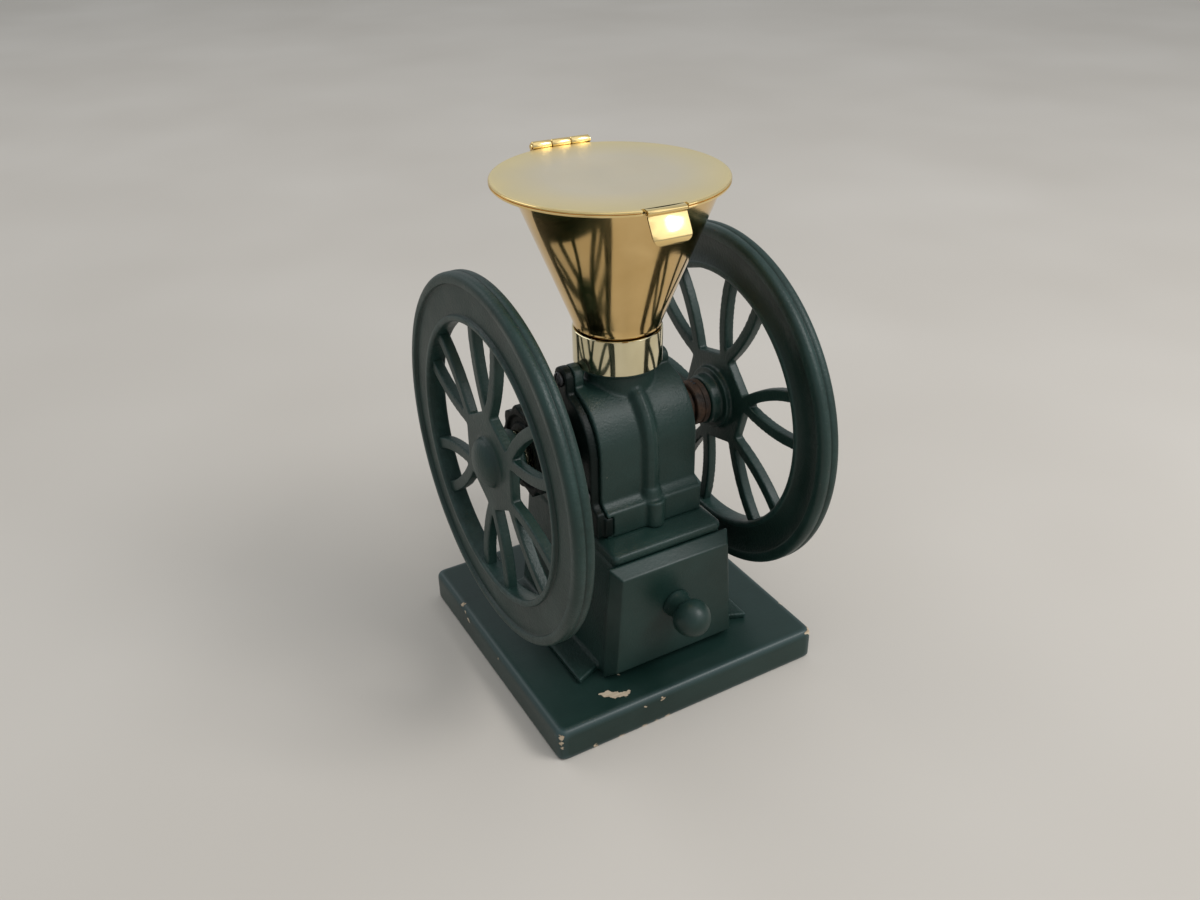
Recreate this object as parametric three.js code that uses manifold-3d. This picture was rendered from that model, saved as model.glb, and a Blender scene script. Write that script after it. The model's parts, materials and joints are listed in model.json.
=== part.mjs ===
// Manual coffee mill with two flywheels, in millimetres, +Z up, +X to the right, +Y to the back.
// The origin is the middle of the board's underside. The shaft runs along X above it.
// A cast pedestal holds the drawer, a cast housing on it holds the burrs, and a brass hopper
// stands in a collar on top. Two cast wheels turn the shaft, and the right one has the grip.

import * as THREE from 'three';
import { mergeVertices } from 'three/addons/utils/BufferGeometryUtils.js';
import Module from 'manifold-3d';

const wasm = await Module();
wasm.setup();

// Driving dimensions
const running = 0.3; // clearance of pieces that turn or slide
const seat = 0.3; // clearance of pieces that are fixed in one another
const overcut = 5; // how far a cutter runs past the face that it opens

const board = { width: 160, depth: 160, thickness: 18.6, corner: 5, edge: 2.6 };

const pedestal = {
  height: 76, footHalf: 39, topHalf: 33, front: -53.2, back: 42,
  roof: 11.4, corner: 3, bayHalf: 30.8, bayBack: 38.5,
};
const flange = { half: 53.5, front: -53, back: 40, thickness: 3.4, slant: 8 };
const ledge = { drop: 6.8, reach: 54.2, half: 32.4, slope: 2.2 };

const housing = {
  half: 28.1, archRadius: 31.3, axisAboveFoot: 41.6, bandReach: 36.9, bandHeight: 14.2,
  coveHeight: 4, wall: 5, burrBay: 17.5,
};
const shaftY = -3.7;
const rib = { radius: 4.75, bandRadius: 5.6, topAngle: 72 };
const neck = { setIn: 0.4, height: 38.6, spigot: 7.2, wall: 4.1, lip: 1.4, waistWall: 1.5 };
const rightEnd = { ear: 4.8, earRise: 33.3, bossReach: 7 };
const cover = { thickness: 5, inset: 2, ear: 6.5, earRise: 34.8, footDepth: 3.5, footHeight: 11 };
const coverScrew = { spread: 25, drop: 20, depth: 8 };

const shaft = { radius: 7 };
const bush = { wall: 2.9, rightReach: 13.7, seatDepth: 12 };
const boss = { length: 12.5, wall: 1.1, threadDepth: 1.8 };
const nut = {
  thickness: 8.5, radius: 23, lobe: 1.4, lobes: 10, hubWall: 3.1, setback: 1.3, endWall: 1.6,
};
const thrust = { wall: 4.7, thickness: 3.3 };
const collarRing = { wall: 5, length: 8.4 };
const innerWasher = { wall: 4.7, thickness: 1 };
const spring = { clearance: 1.8, wire: 0.6, curls: 2 };
const burr = { radius: 23, fixedThickness: 4.4, turningThickness: 5, gap: 0.4, grooves: 10 };
const auger = { wall: 1.9, reach: 3.5, pitch: 13, flight: 2.4, length: 27 };

const wheel = {
  radius: 95, rimWidth: 24, rimThickness: 10.5, round: 2.6, webInset: 2.6,
  bandOuter: 5.8, bandInner: 3.2, bandDepth: 1.2, hubReach: 7.1, domeRadius: 13, domeHeight: 7,
  stepRadius: 17, bossRadius: 13.5, starRadius: 29, petals: 6, petalBulge: 12.4, armWidth: 6,
};
const leftWheelTurn = 1.5; // degrees, as the two wheels stand on the shaft
const rightWheelTurn = 17;

const grip = {
  angle: 46, inboard: 12.5, length: 44, radius: 9, bolt: 3, head: 5.2, headRecess: 4.5, washer: 1.2,
};

const collar = { radius: 22.7, wall: 1.3, height: 18.4 };
const hopper = { slope: 0.396, wall: 1, neckClearance: 0.4, neckLength: 11, height: 85.4, bead: 0.9 };
const hinge = {
  radius: 2.4, pin: 1.1, knuckle: 10.4, gap: 0.25, offsetX: 1.8, skew: -4.6, leaf: 0.8,
  leafGap: 0.6,
};
const lid = { overhang: 5, plate: 1.2, rim: 2.6, round: 1, below: 0.6, seat: 0.3 };
const tab = { width: 18.9, thickness: 1, drop: 12.5, reach: 6.5, notch: 1.6, tipRound: 3.8 };

const drawer = {
  half: 29.8, height: 52, length: 88, wall: 2.5, floor: 2.5, frontGap: 0.4,
  panel: 7.9, panelTopHalf: 35.7, panelFootHalf: 40.2, panelTop: 68.6, bevel: 4.3, footBevel: 5.4,
  land: 1, lift: 0.3,
};
const knob = { height: 38.8, neck: 6.2, base: 7.8, head: 10, length: 24.5, neckLength: 11 };

const screw = { shank: 2, head: 3.9, headHeight: 2.4, slot: 0.9 };

// Heights and places that follow from them
const pedestalTop = board.thickness + pedestal.height;
const shaftZ = pedestalTop + housing.axisAboveFoot;
const coverOuter = housing.half + cover.thickness;
const shaftBore = shaft.radius + seat;
const bushRadius = shaft.radius + running + bush.wall;
const threadRadius = bushRadius + seat + boss.wall;
const bossRadius = threadRadius + boss.threadDepth;
const ringRadius = shaftBore + collarRing.wall;
const springRadius = shaft.radius + spring.clearance + spring.wire;
const augerCore = shaftBore + auger.wall;
const augerRadius = augerCore + auger.reach;
const spigotRadius = collar.radius - collar.wall - seat;
const lipRadius = collar.radius - neck.setIn;
const neckBore = spigotRadius - neck.wall;
const waistRadius = neckBore + neck.waistWall;
const hopperNeck = neckBore - hopper.neckClearance;
const fixedBurrBack = -housing.half + housing.burrBay;
const fixedBurrFace = fixedBurrBack - burr.fixedThickness - seat;
const turningBurrFace = fixedBurrFace - burr.gap;
const turningBurrBack = turningBurrFace - burr.turningThickness;
const washerFrom = -housing.half + running;
const springFrom = washerFrom + innerWasher.thickness + running;
const springLength = turningBurrBack - running - springFrom;
const chamberRadius = housing.archRadius - housing.wall;
const feedRadius = augerRadius + 2 * running;
const throatRadius = housing.half - housing.burrBay - seat;
const bossEnd = coverOuter + boss.length;
const nutInner = bossEnd + nut.setback;
const nutOuter = nutInner + nut.thickness;
const threadEnd = nutOuter - nut.endWall - 2 * running;
const leftHubEnd = nutOuter + thrust.thickness + 3 * running;
const rightBushEnd = housing.half + bush.rightReach;
const rightHubEnd = rightBushEnd + collarRing.length + 2 * running;
const leftRimInner = leftHubEnd + wheel.hubReach;
const rightRimInner = rightHubEnd + wheel.hubReach;
const openingRadius = wheel.radius - wheel.rimWidth;
const webInner = wheel.webInset;
const webOuter = wheel.rimThickness - wheel.webInset;
const shaftInHub = webOuter + 1;
const chute = { x0: -housing.half + 1.5, x1: fixedBurrFace, half: 11 };

// Paint, metal and wood of the pieces
const finish = (color, roughness, metalness) =>
  new THREE.MeshStandardMaterial({ color, roughness, metalness });
const greenPaint = finish(0x24352f, 0.45, 0.1);
const boardPaint = finish(0x21332d, 0.5, 0);
const polishedBrass = finish(0xd8b65a, 0.12, 1);
const satinBrass = finish(0xc6b788, 0.35, 1);
const steel = finish(0x8d8f92, 0.35, 1);
const darkSteel = finish(0x55565a, 0.5, 1);
const bronze = finish(0x7a4a28, 0.5, 0.9);
const burrIron = finish(0x4a4a4c, 0.6, 0.9);
const tinplate = finish(0xb9bcc0, 0.4, 1);

// A closed body from a three.js geometry, its shared points merged and its faces pointing out
function solid(geometry) {
  const bare = geometry.clone();
  for (const name of Object.keys(bare.attributes)) {
    if (name !== 'position') bare.deleteAttribute(name);
  }
  const merged = mergeVertices(bare, 1e-4);
  const points = merged.attributes.position.array;
  const triangles = wholeTriangles(merged.index.array);
  if (signedVolume(points, triangles) < 0) triangles.reverse();
  const mesh = new wasm.Mesh({
    numProp: 3,
    vertProperties: new Float32Array(points),
    triVerts: new Uint32Array(triangles),
  });
  return new wasm.Manifold(mesh);
}

// The triangles that have three different corners
function wholeTriangles(index) {
  const kept = [];
  for (let i = 0; i < index.length; i += 3) {
    const [a, b, c] = index.slice(i, i + 3);
    if (a !== b && b !== c && c !== a) kept.push(a, b, c);
  }
  return kept;
}

function signedVolume(points, triangles) {
  const corner = (i) => new THREE.Vector3().fromArray(points, 3 * triangles[i]);
  let volume = 0;
  for (let i = 0; i < triangles.length; i += 3) {
    volume += corner(i).dot(corner(i + 1).cross(corner(i + 2)));
  }
  return volume;
}

function meshOf(name, body, material) {
  const data = body.getMesh();
  const geometry = new THREE.BufferGeometry();
  geometry.setAttribute('position', new THREE.BufferAttribute(data.vertProperties, 3));
  geometry.setIndex(new THREE.BufferAttribute(data.triVerts, 1));
  geometry.computeVertexNormals();
  const mesh = new THREE.Mesh(geometry, material);
  mesh.name = name;
  return mesh;
}

const cut = (body, ...tools) => tools.reduce((left, tool) => left.subtract(tool), body);
const join = (body, ...others) => others.reduce((sum, other) => sum.add(other), body);

// Turn a shape that was made along Z so that it runs along the named axis
const onto = {
  x: new THREE.Matrix4().makeBasis(
    new THREE.Vector3(0, 1, 0), new THREE.Vector3(0, 0, 1), new THREE.Vector3(1, 0, 0)),
  y: new THREE.Matrix4().makeBasis(
    new THREE.Vector3(0, 0, 1), new THREE.Vector3(1, 0, 0), new THREE.Vector3(0, 1, 0)),
  z: new THREE.Matrix4(),
};

// A turned body: the profile is a list of [radius, place along the axis]
function turned(profile, axis = 'x', segments = 24, at = [0, 0, 0]) {
  const points = profile.map(([radius, along]) => new THREE.Vector2(radius, along));
  const geometry = new THREE.LatheGeometry(points, segments);
  geometry.rotateX(Math.PI / 2);
  geometry.applyMatrix4(onto[axis]);
  geometry.translate(...at);
  return solid(geometry);
}

function rod(radius, from, to, axis = 'x', segments = 24) {
  return turned([[0, from], [radius, from], [radius, to], [0, to]], axis, segments);
}

function tube(inner, outer, from, to, axis = 'x', segments = 24) {
  const ring = [[inner, from], [outer, from], [outer, to], [inner, to], [inner, from]];
  return turned(ring, axis, segments);
}

function rodAt(radius, from, to, axis, at, segments = 12) {
  return turned([[0, from], [radius, from], [radius, to], [0, to]], axis, segments, at);
}

function block(x0, x1, y0, y1, z0, z1) {
  const geometry = new THREE.BoxGeometry(x1 - x0, y1 - y0, z1 - z0);
  geometry.translate((x0 + x1) / 2, (y0 + y1) / 2, (z0 + z1) / 2);
  return solid(geometry);
}

// A flat outline pushed along an axis; on x the outline is (y, z), on y it is (z, x), on z (x, y)
function extruded(shape, from, to, axis = 'x', steps = 12) {
  const options = { depth: to - from, bevelEnabled: false, curveSegments: steps };
  const geometry = new THREE.ExtrudeGeometry(shape, options);
  geometry.translate(0, 0, from);
  geometry.applyMatrix4(onto[axis]);
  return solid(geometry);
}

const outline = (points) => new THREE.Shape(points.map(([u, v]) => new THREE.Vector2(u, v)));

// Points of a rectangle with round corners, the same number at every size
function roundedRectangle(left, right, low, high, radius, steps = 3) {
  const centres = [
    [right - radius, high - radius, 0], [left + radius, high - radius, 90],
    [left + radius, low + radius, 180], [right - radius, low + radius, 270],
  ];
  const points = [];
  for (const [x, y, start] of centres) {
    for (let i = 0; i <= steps; i += 1) {
      const angle = THREE.MathUtils.degToRad(start + (90 * i) / steps);
      points.push([x + radius * Math.cos(angle), y + radius * Math.sin(angle)]);
    }
  }
  return points;
}

// A body through rings of equal point count; each ring is a list of [x, y, z]
function loft(rings) {
  const count = rings[0].length;
  const flat = rings[0].map(([x, y]) => new THREE.Vector2(x, y));
  const faces = THREE.ShapeUtils.triangulateShape(flat, []);
  const last = (rings.length - 1) * count;
  const index = [];
  for (const [a, b, c] of faces) {
    index.push(a, c, b, last + a, last + b, last + c);
  }
  for (let ring = 0; ring < rings.length - 1; ring += 1) {
    for (let i = 0; i < count; i += 1) {
      const a = ring * count + i;
      const b = ring * count + ((i + 1) % count);
      index.push(a, b, b + count, a, b + count, a + count);
    }
  }
  const geometry = new THREE.BufferGeometry();
  geometry.setAttribute('position', new THREE.Float32BufferAttribute(rings.flat(2), 3));
  geometry.setIndex(index);
  return solid(geometry);
}

// Rings of a block that tapers upwards: each level is [z, half width, front y, back y, corner]
function taperedBlock(levels) {
  const rings = levels.map(([z, half, front, back, corner]) =>
    roundedRectangle(-half, half, front, back, corner).map(([x, y]) => [x, y, z]));
  return loft(rings);
}

// Points of an arc, from one angle to another in degrees
function arc(cx, cy, radius, start, end, steps) {
  const points = [];
  for (let i = 0; i <= steps; i += 1) {
    const angle = THREE.MathUtils.degToRad(start + ((end - start) * i) / steps);
    points.push([cx + radius * Math.cos(angle), cy + radius * Math.sin(angle)]);
  }
  return points;
}

// A slotted screw whose head stands on the plane x = 0 and whose shank runs to -length
function screwBody(length) {
  const { shank, head, headHeight: top } = screw;
  const profile = [[0, -length], [shank, -length], [shank, 0], [head, 0], [head, top * 0.4],
    [head * 0.7, top], [0, top]];
  const slot = block(top * 0.55, top + 1, -head - 1, head + 1, -screw.slot / 2, screw.slot / 2);
  return cut(turned(profile, 'x', 8), slot);
}

const screwHole = (from, to, axis, at) => rodAt(screw.shank + seat, from, to, axis, at, 8);

function addScrew(group, name, length, position, rotation, material = steel) {
  const mesh = meshOf(name, screwBody(length), material);
  mesh.position.set(...position);
  mesh.rotation.set(...rotation);
  group.add(mesh);
}
const headUp = [0, -Math.PI / 2, 0];
const headDown = [0, Math.PI / 2, 0];
const headLeft = [0, 0, Math.PI];
const headBack = [0, 0, Math.PI / 2];

const mill = new THREE.Group();
const upper = new THREE.Group();
upper.position.set(0, shaftY, shaftZ);
mill.add(upper);

// The board is painted wood with rounded corners and top edges
function makeBoard() {
  const halfDepth = board.depth / 2;
  const level = (z, inset) =>
    [z, board.width / 2 - inset, -halfDepth + inset, halfDepth - inset, board.corner];
  const top = board.thickness;
  const body = taperedBlock([
    level(0, 0.8), level(0.8, 0), level(top - board.edge, 0),
    level(top - 0.3 * board.edge, 0.3 * board.edge), level(top, board.edge),
  ]);
  const holes = footScrewPlaces().map(([x, y]) => screwHole(top - 12, top + 1, 'z', [x, y, 0]));
  return cut(body, ...holes);
}

// The pedestal's foot screws stand in its side flanges
const footScrewX = () => (pedestal.footHalf + flange.half) / 2 + 1;
function footScrewPlaces() {
  const front = flange.front + 36;
  const back = flange.back - 9;
  return [[-footScrewX(), front], [footScrewX(), front], [-footScrewX(), back], [footScrewX(), back]];
}

// Screws that hold the housing come up through the pedestal's roof
function roofScrewPlaces() {
  const x = housing.half - 9;
  const y = housing.bandReach - 7;
  return [[-x, -y], [x, -y], [-x, y], [x, y]];
}

// The pedestal is a tapered casting with a hipped ledge on top, open at the front for the drawer
function makePedestal() {
  const foot = board.thickness;
  const top = pedestalTop;
  const lip = top - ledge.drop;
  const back = shaftY + (shaftY - -ledge.reach);
  const bandFront = shaftY - housing.bandReach;
  const bandBack = shaftY + housing.bandReach;
  const { corner } = pedestal;
  const body = taperedBlock([
    [foot, pedestal.footHalf, pedestal.front, pedestal.back + 3, corner],
    [lip - 2, pedestal.topHalf, pedestal.front, pedestal.back, corner],
    [lip - 0.8, pedestal.topHalf - 1.4, pedestal.front + 1.6, pedestal.back - 1.4, corner],
    [lip + 0.4, ledge.half, -ledge.reach, back, corner],
    [top - ledge.slope - 1, ledge.half + 0.2, -ledge.reach - 0.2, back, corner],
    [top - ledge.slope, ledge.half - 0.4, -ledge.reach + 0.4, back - 0.4, corner],
    [top - ledge.slope * 0.55, ledge.half - 1.8, -ledge.reach + 4.6, back - 4, corner],
    [top, housing.half + 0.7, bandFront - 0.8, bandBack + 0.8, corner],
  ]);
  const plate = extruded(flangeOutline(), foot, foot + flange.thickness, 'z', 3);
  const bay = block(-pedestal.bayHalf, pedestal.bayHalf, pedestal.front - overcut, pedestal.bayBack,
    foot - overcut, top - pedestal.roof);
  const drop = block(chute.x0, chute.x1, shaftY - chute.half, shaftY + chute.half,
    top - pedestal.roof - overcut, top + overcut);
  const feet = footScrewPlaces().map(([x, y]) =>
    screwHole(foot - 1, foot + flange.thickness + 1, 'z', [x, y, 0]));
  const roof = roofScrewPlaces().map(([x, y]) =>
    screwHole(top - pedestal.roof - 1, top + 1, 'z', [x, y + shaftY, 0]));
  return cut(join(body, plate), bay, drop, ...feet, ...roof);
}

// The flange's front edges slant back to the pedestal's sides
function flangeOutline() {
  const inner = pedestal.footHalf - 4;
  const half = [[flange.half, flange.front], [flange.half, flange.back], [inner, flange.back + 3]];
  const start = [inner, flange.front + flange.slant];
  const right = [start, ...half];
  const left = right.map(([x, y]) => [-x, y]).reverse();
  return outline([...right, ...left]);
}

// Side view of the housing about the shaft axis: band, cove and arch, the same at front and back
function housingProfile(inset = 0) {
  const foot = -housing.axisAboveFoot;
  const band = housing.bandReach - inset;
  const radius = housing.archRadius - inset;
  const ridge = foot + housing.bandHeight;
  const coveTop = ridge + housing.coveHeight;
  const front = [
    [-band, foot], [-band, ridge], [-band + 0.9, ridge + 0.8],
    [-radius - 3.1, ridge + 1.4], [-radius - 1.2, coveTop - 1.2], [-radius, coveTop],
  ];
  const top = arc(0, 0, radius, 180, 0, 36);
  const back = front.map(([y, z]) => [-y, z]).reverse();
  return [...front, ...top, ...back];
}

// A half-round rib follows the front of the arch and thickens on the band
function makeRib() {
  const foot = -housing.axisAboveFoot;
  const bandTop = foot + housing.bandHeight;
  const start = bandTop - 2;
  const path = new THREE.CurvePath();
  const reach = -housing.archRadius + 0.6;
  path.add(new THREE.LineCurve3(new THREE.Vector3(0, reach, start), new THREE.Vector3(0, reach, 0)));
  const bend = arc(0, 0, -reach, 180, 180 - rib.topAngle, 6).map(([y, z]) => new THREE.Vector3(0, y, z));
  path.add(new THREE.CatmullRomCurve3(bend));
  const section = outline(arc(0, 0, rib.radius, 0, 324, 9));
  const geometry = new THREE.ExtrudeGeometry(section, { steps: 12, extrudePath: path, bevelEnabled: false });
  const bandRib = rodAt(rib.bandRadius, foot, bandTop + 0.6, 'z', [0, -housing.bandReach + 1.4, 0], 16);
  const coneTo = bandTop + housing.coveHeight + 2;
  const cone = [[0, bandTop - 1], [rib.bandRadius + 1, bandTop - 1], [rib.radius, coneTo], [0, coneTo]];
  const flare = turned(cone, 'z', 16, [0, -housing.archRadius - 0.4, 0]);
  return join(solid(geometry), bandRib, flare);
}

// Screw places on the side cover, as [y, z] about the shaft axis
const coverScrewPlaces = [
  [0, cover.earRise], [-coverScrew.spread, -coverScrew.drop], [coverScrew.spread, -coverScrew.drop],
];

// The housing holds the burr chamber, the feed bore, the throat and the discharge chute
function makeHousing() {
  const foot = -housing.axisAboveFoot;
  const { half } = housing;
  const shell = extruded(outline(housingProfile()), -half, half, 'x');
  const throatTop = neck.height + neck.spigot;
  const lipFoot = neck.height - neck.lip;
  const neckBody = turned([
    [0, 0], [waistRadius, 0], [waistRadius, lipFoot - 0.8], [lipRadius - 0.4, lipFoot],
    [lipRadius, lipFoot + 0.4], [lipRadius, neck.height], [spigotRadius, neck.height],
    [spigotRadius, throatTop], [0, throatTop],
  ], 'z', 40);
  const leftEar = rodAt(cover.ear, -half, -collar.radius - seat, 'x', [0, 0, cover.earRise], 16);
  const rightEar = rodAt(rightEnd.ear, waistRadius - 2, half, 'x', [0, 0, rightEnd.earRise], 16);
  const boss = rod(bossRadius, half - 1, half + rightEnd.bossReach);
  const body = join(shell, neckBody, makeRib(), leftEar, rightEar, boss);
  const neckEnd = hopperNeckEnd() - seat;
  const throat = turned([
    [0, 0], [throatRadius, 0], [throatRadius, 12], [neckBore - 1.5, neckEnd - 2], [neckBore - 1.5, neckEnd],
    [neckBore, neckEnd], [neckBore, throatTop + overcut], [0, throatTop + overcut],
  ], 'z', 24);
  const chamber = rod(chamberRadius, -half - overcut, fixedBurrBack, 'x', 28);
  const feed = rod(feedRadius, fixedBurrBack - 1, half - bush.seatDepth, 'x', 20);
  const bearing = rod(bushRadius + seat, half - bush.seatDepth - 1, half + rightEnd.bossReach + overcut, 'x');
  const discharge = block(chute.x0, chute.x1, -chute.half, chute.half, foot - overcut, 0);
  const coverHoles = coverScrewPlaces.map(([y, z]) =>
    screwHole(-half - 1, -half + coverScrew.depth, 'x', [0, y, z]));
  const footHoles = roofScrewPlaces().map(([x, y]) => screwHole(foot - 1, foot + 9, 'z', [x, y, 0]));
  return cut(body, throat, chamber, feed, bearing, discharge, coverFoot(seat), ...coverHoles, ...footHoles);
}

// A small foot of the side cover reaches into the end of the band
function coverFoot(grow = 0) {
  const foot = -housing.axisAboveFoot + 1.2;
  const front = -housing.bandReach - (grow > 0 ? overcut : 0);
  return block(-housing.half - 1, -housing.half + cover.footDepth + grow,
    front, -housing.bandReach + 8 + grow, foot - grow, foot + cover.footHeight + grow);
}

// The side cover closes the housing's left end and carries the threaded boss
function makeCover() {
  const inner = -housing.half;
  const plate = extruded(outline(housingProfile(cover.inset)), -coverOuter, inner, 'x');
  const ear = rodAt(cover.ear, -coverOuter, inner, 'x', [0, 0, cover.earRise], 16);
  const web = block(-coverOuter, inner, -cover.ear, cover.ear, housing.archRadius - 8, cover.earRise);
  const keep = block(-coverOuter - 10, inner + 10, -60, 60, -housing.axisAboveFoot + 0.5, 60);
  const body = join(plate, ear, web, coverFoot()).intersect(keep);
  const tower = join(rod(bossRadius, -bossEnd, -coverOuter + 1), rod(threadRadius, -threadEnd, -coverOuter));
  const eye = rod(bushRadius + seat, -threadEnd - 1, inner + 1);
  const screws = coverScrewPlaces.map(([y, z]) => screwHole(-coverOuter - 1, inner + 1, 'x', [0, y, z]));
  return cut(join(body, tower), eye, ...screws);
}

const bushTube = (from, to) => tube(shaft.radius + running, bushRadius, from, to);

// The fixed burr is a ring in the housing, cut with slanted grooves on its left face
function burrGrooves(face, direction) {
  const tools = [];
  for (let i = 0; i < burr.grooves; i += 1) {
    const geometry = new THREE.BoxGeometry(1.6, 2, burr.radius);
    geometry.translate(face, 3, burr.radius / 2 + 14);
    geometry.rotateX(THREE.MathUtils.degToRad((360 * i) / burr.grooves) * direction);
    tools.push(solid(geometry));
  }
  return tools;
}

function makeFixedBurr() {
  const ring = tube(feedRadius + 0.5, burr.radius, fixedBurrFace, fixedBurrBack - seat);
  return cut(ring, ...burrGrooves(fixedBurrFace, 1));
}

// The turning burr sits on the shaft and faces the fixed one
function makeTurningBurr() {
  const disc = tube(shaftBore, burr.radius - 0.6, turningBurrBack, turningBurrFace);
  return cut(disc, ...burrGrooves(turningBurrFace, -1));
}

// The feed screw carries the beans from the throat to the burrs
function makeAuger() {
  const from = fixedBurrFace + 0.6;
  const to = from + auger.length;
  const core = tube(shaftBore, augerCore, from, to, 'x', 16);
  const turns = (auger.length - auger.flight - 1) / auger.pitch;
  const steps = Math.round(turns * 10);
  const rings = [];
  for (let i = 0; i <= steps; i += 1) {
    const angle = (2 * Math.PI * turns * i) / steps;
    const along = from + 0.5 + (auger.pitch * turns * i) / steps;
    const section = [[augerCore - 0.8, 0], [augerRadius, 0.5], [augerRadius, auger.flight - 0.5],
      [augerCore - 0.8, auger.flight]];
    rings.push(section.map(([r, x]) => [along + x, r * Math.cos(angle), r * Math.sin(angle)]));
  }
  return join(core, strip(rings));
}

// A band through four-cornered rings, closed at both ends
function strip(rings) {
  const index = [];
  const end = 4 * (rings.length - 1);
  for (let ring = 0; ring < rings.length - 1; ring += 1) {
    for (let i = 0; i < 4; i += 1) {
      const a = 4 * ring + i;
      const b = 4 * ring + ((i + 1) % 4);
      index.push(a, b, b + 4, a, b + 4, a + 4);
    }
  }
  index.push(0, 2, 1, 0, 3, 2, end, end + 1, end + 2, end, end + 2, end + 3);
  const geometry = new THREE.BufferGeometry();
  geometry.setAttribute('position', new THREE.Float32BufferAttribute(rings.flat(2), 3));
  geometry.setIndex(index);
  return solid(geometry);
}

// The coil spring between the left bush and the turning burr is one unbroken wire
class Coil extends THREE.Curve {
  getPoint(t, target = new THREE.Vector3()) {
    const angle = 2 * Math.PI * spring.curls * t;
    const rise = springLength - 2 * spring.wire;
    const y = springRadius * Math.cos(angle);
    const z = springRadius * Math.sin(angle);
    return target.set(rise * t, y, z);
  }
}

// The least distance between points of the wire that are over half a curl apart, less its thickness
function leastSpringGap() {
  const count = 40 * spring.curls;
  const points = new Coil().getPoints(count);
  let least = Infinity;
  points.forEach((point, i) => {
    for (const other of points.slice(i + 20)) least = Math.min(least, point.distanceTo(other));
  });
  return least - 2 * spring.wire;
}

function makeSpring() {
  const steps = Math.round(8 * spring.curls);
  const section = outline(arc(0, 0, spring.wire, 0, 288, 4));
  const options = { steps, extrudePath: new Coil(), bevelEnabled: false };
  const geometry = new THREE.ExtrudeGeometry(section, options);
  console.log('spring, least gap between curls in mm:', leastSpringGap().toFixed(2));
  geometry.translate(springFrom + spring.wire, 0, 0);
  return solid(geometry);
}

// One petal of the wheel, pointing along +Z: two bowed arms that leave the hub together
function petalOutline(side) {
  const start = wheel.starRadius - 3;
  const end = openingRadius + 2.5;
  const curve = new THREE.QuadraticBezierCurve(
    new THREE.Vector2(0.6, start), new THREE.Vector2(wheel.petalBulge + 0.6, start + 0.5 * (end - start)),
    new THREE.Vector2(wheel.petalBulge, end));
  const steps = 5;
  const points = curve.getPoints(steps);
  const half = wheel.armWidth / 2;
  const edge = (sign) => points.map((p, i) => {
    const tangent = curve.getTangent(i / steps);
    return [side * (p.x + sign * half * tangent.y), p.y - sign * half * tangent.x];
  });
  return outline([...edge(1), ...edge(-1).reverse()]);
}

function rimProfile() {
  const { radius, rimThickness: t, round, bandDepth } = wheel;
  const outer = arc(radius - round, round, round, -90, 0, 2);
  const outerTop = arc(radius - round, t - round, round, 0, 90, 2);
  const bandHigh = radius - wheel.bandOuter;
  const bandLow = openingRadius + wheel.bandInner;
  return [
    [openingRadius, 0.9], [openingRadius + 0.9, 0], ...outer, ...outerTop,
    [bandHigh + 0.3, t], [bandHigh - 0.3, t - bandDepth], [bandLow + 0.3, t - bandDepth],
    [bandLow - 0.3, t], [openingRadius + 0.9, t], [openingRadius, t - 0.9], [openingRadius, 0.9],
  ];
}

// The wheel stands with its rim's inner face at x = 0 and its outer side towards +X
function makeWheel() {
  const rim = turned(rimProfile(), 'x', 48);
  const hub = turned([
    [0, -wheel.hubReach], [wheel.bossRadius - 0.8, -wheel.hubReach], [wheel.bossRadius, 0.8 - wheel.hubReach],
    [wheel.bossRadius, -0.8], [wheel.stepRadius, -0.8], [wheel.stepRadius, webInner + 1],
    [wheel.domeRadius, webInner + 1], ...domePoints(),
  ]);
  const thickness = webOuter - webInner;
  const star = new THREE.CylinderGeometry(wheel.starRadius, wheel.starRadius, thickness, wheel.petals);
  star.rotateX(Math.PI / 2);
  star.applyMatrix4(onto.x);
  star.rotateX(starPhase(star));
  star.translate((webInner + webOuter) / 2, 0, 0);
  const arms = [];
  for (let i = 0; i < wheel.petals; i += 1) {
    for (const side of [-1, 1]) {
      const shape = petalOutline(side);
      const geometry = new THREE.ExtrudeGeometry(shape, { depth: thickness, bevelEnabled: false });
      geometry.translate(0, 0, webInner);
      geometry.applyMatrix4(onto.x);
      geometry.rotateX((2 * Math.PI * i) / wheel.petals);
      arms.push(solid(geometry));
    }
  }
  const bore = rod(shaftBore, -wheel.hubReach - 1, shaftInHub + seat);
  const setHole = screwHole(0, wheel.bossRadius + 2, 'z', [-wheel.hubReach / 2, 0, 0]);
  return cut(join(rim, hub, solid(star), ...arms), bore, setHole);
}

const domePoints = () => arc(0, 0, 1, 0, 90, 3).map(([r, h]) =>
  [wheel.domeRadius * r, webOuter + wheel.domeHeight * h]);

// The turn that brings a corner of the star plate to +Z
function starPhase(geometry) {
  const corner = new THREE.Vector3().fromBufferAttribute(geometry.attributes.position, 0);
  return Math.atan2(corner.y, corner.z);
}

// The wheel's grub screw sits flush in the hub, pointing at the shaft
function addGrubScrew(name, rimInner, side, turn) {
  const pivot = new THREE.Group();
  pivot.rotation.x = turn;
  const body = cut(rod(screw.shank, shaftBore, wheel.bossRadius - 0.6, 'z', 12),
    block(-screw.slot / 2, screw.slot / 2, -5, 5, wheel.bossRadius - 1.6, wheel.bossRadius + 1));
  const mesh = meshOf(name, body, darkSteel);
  mesh.position.x = side * (rimInner - wheel.hubReach / 2);
  pivot.add(mesh);
  upper.add(pivot);
}

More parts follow.
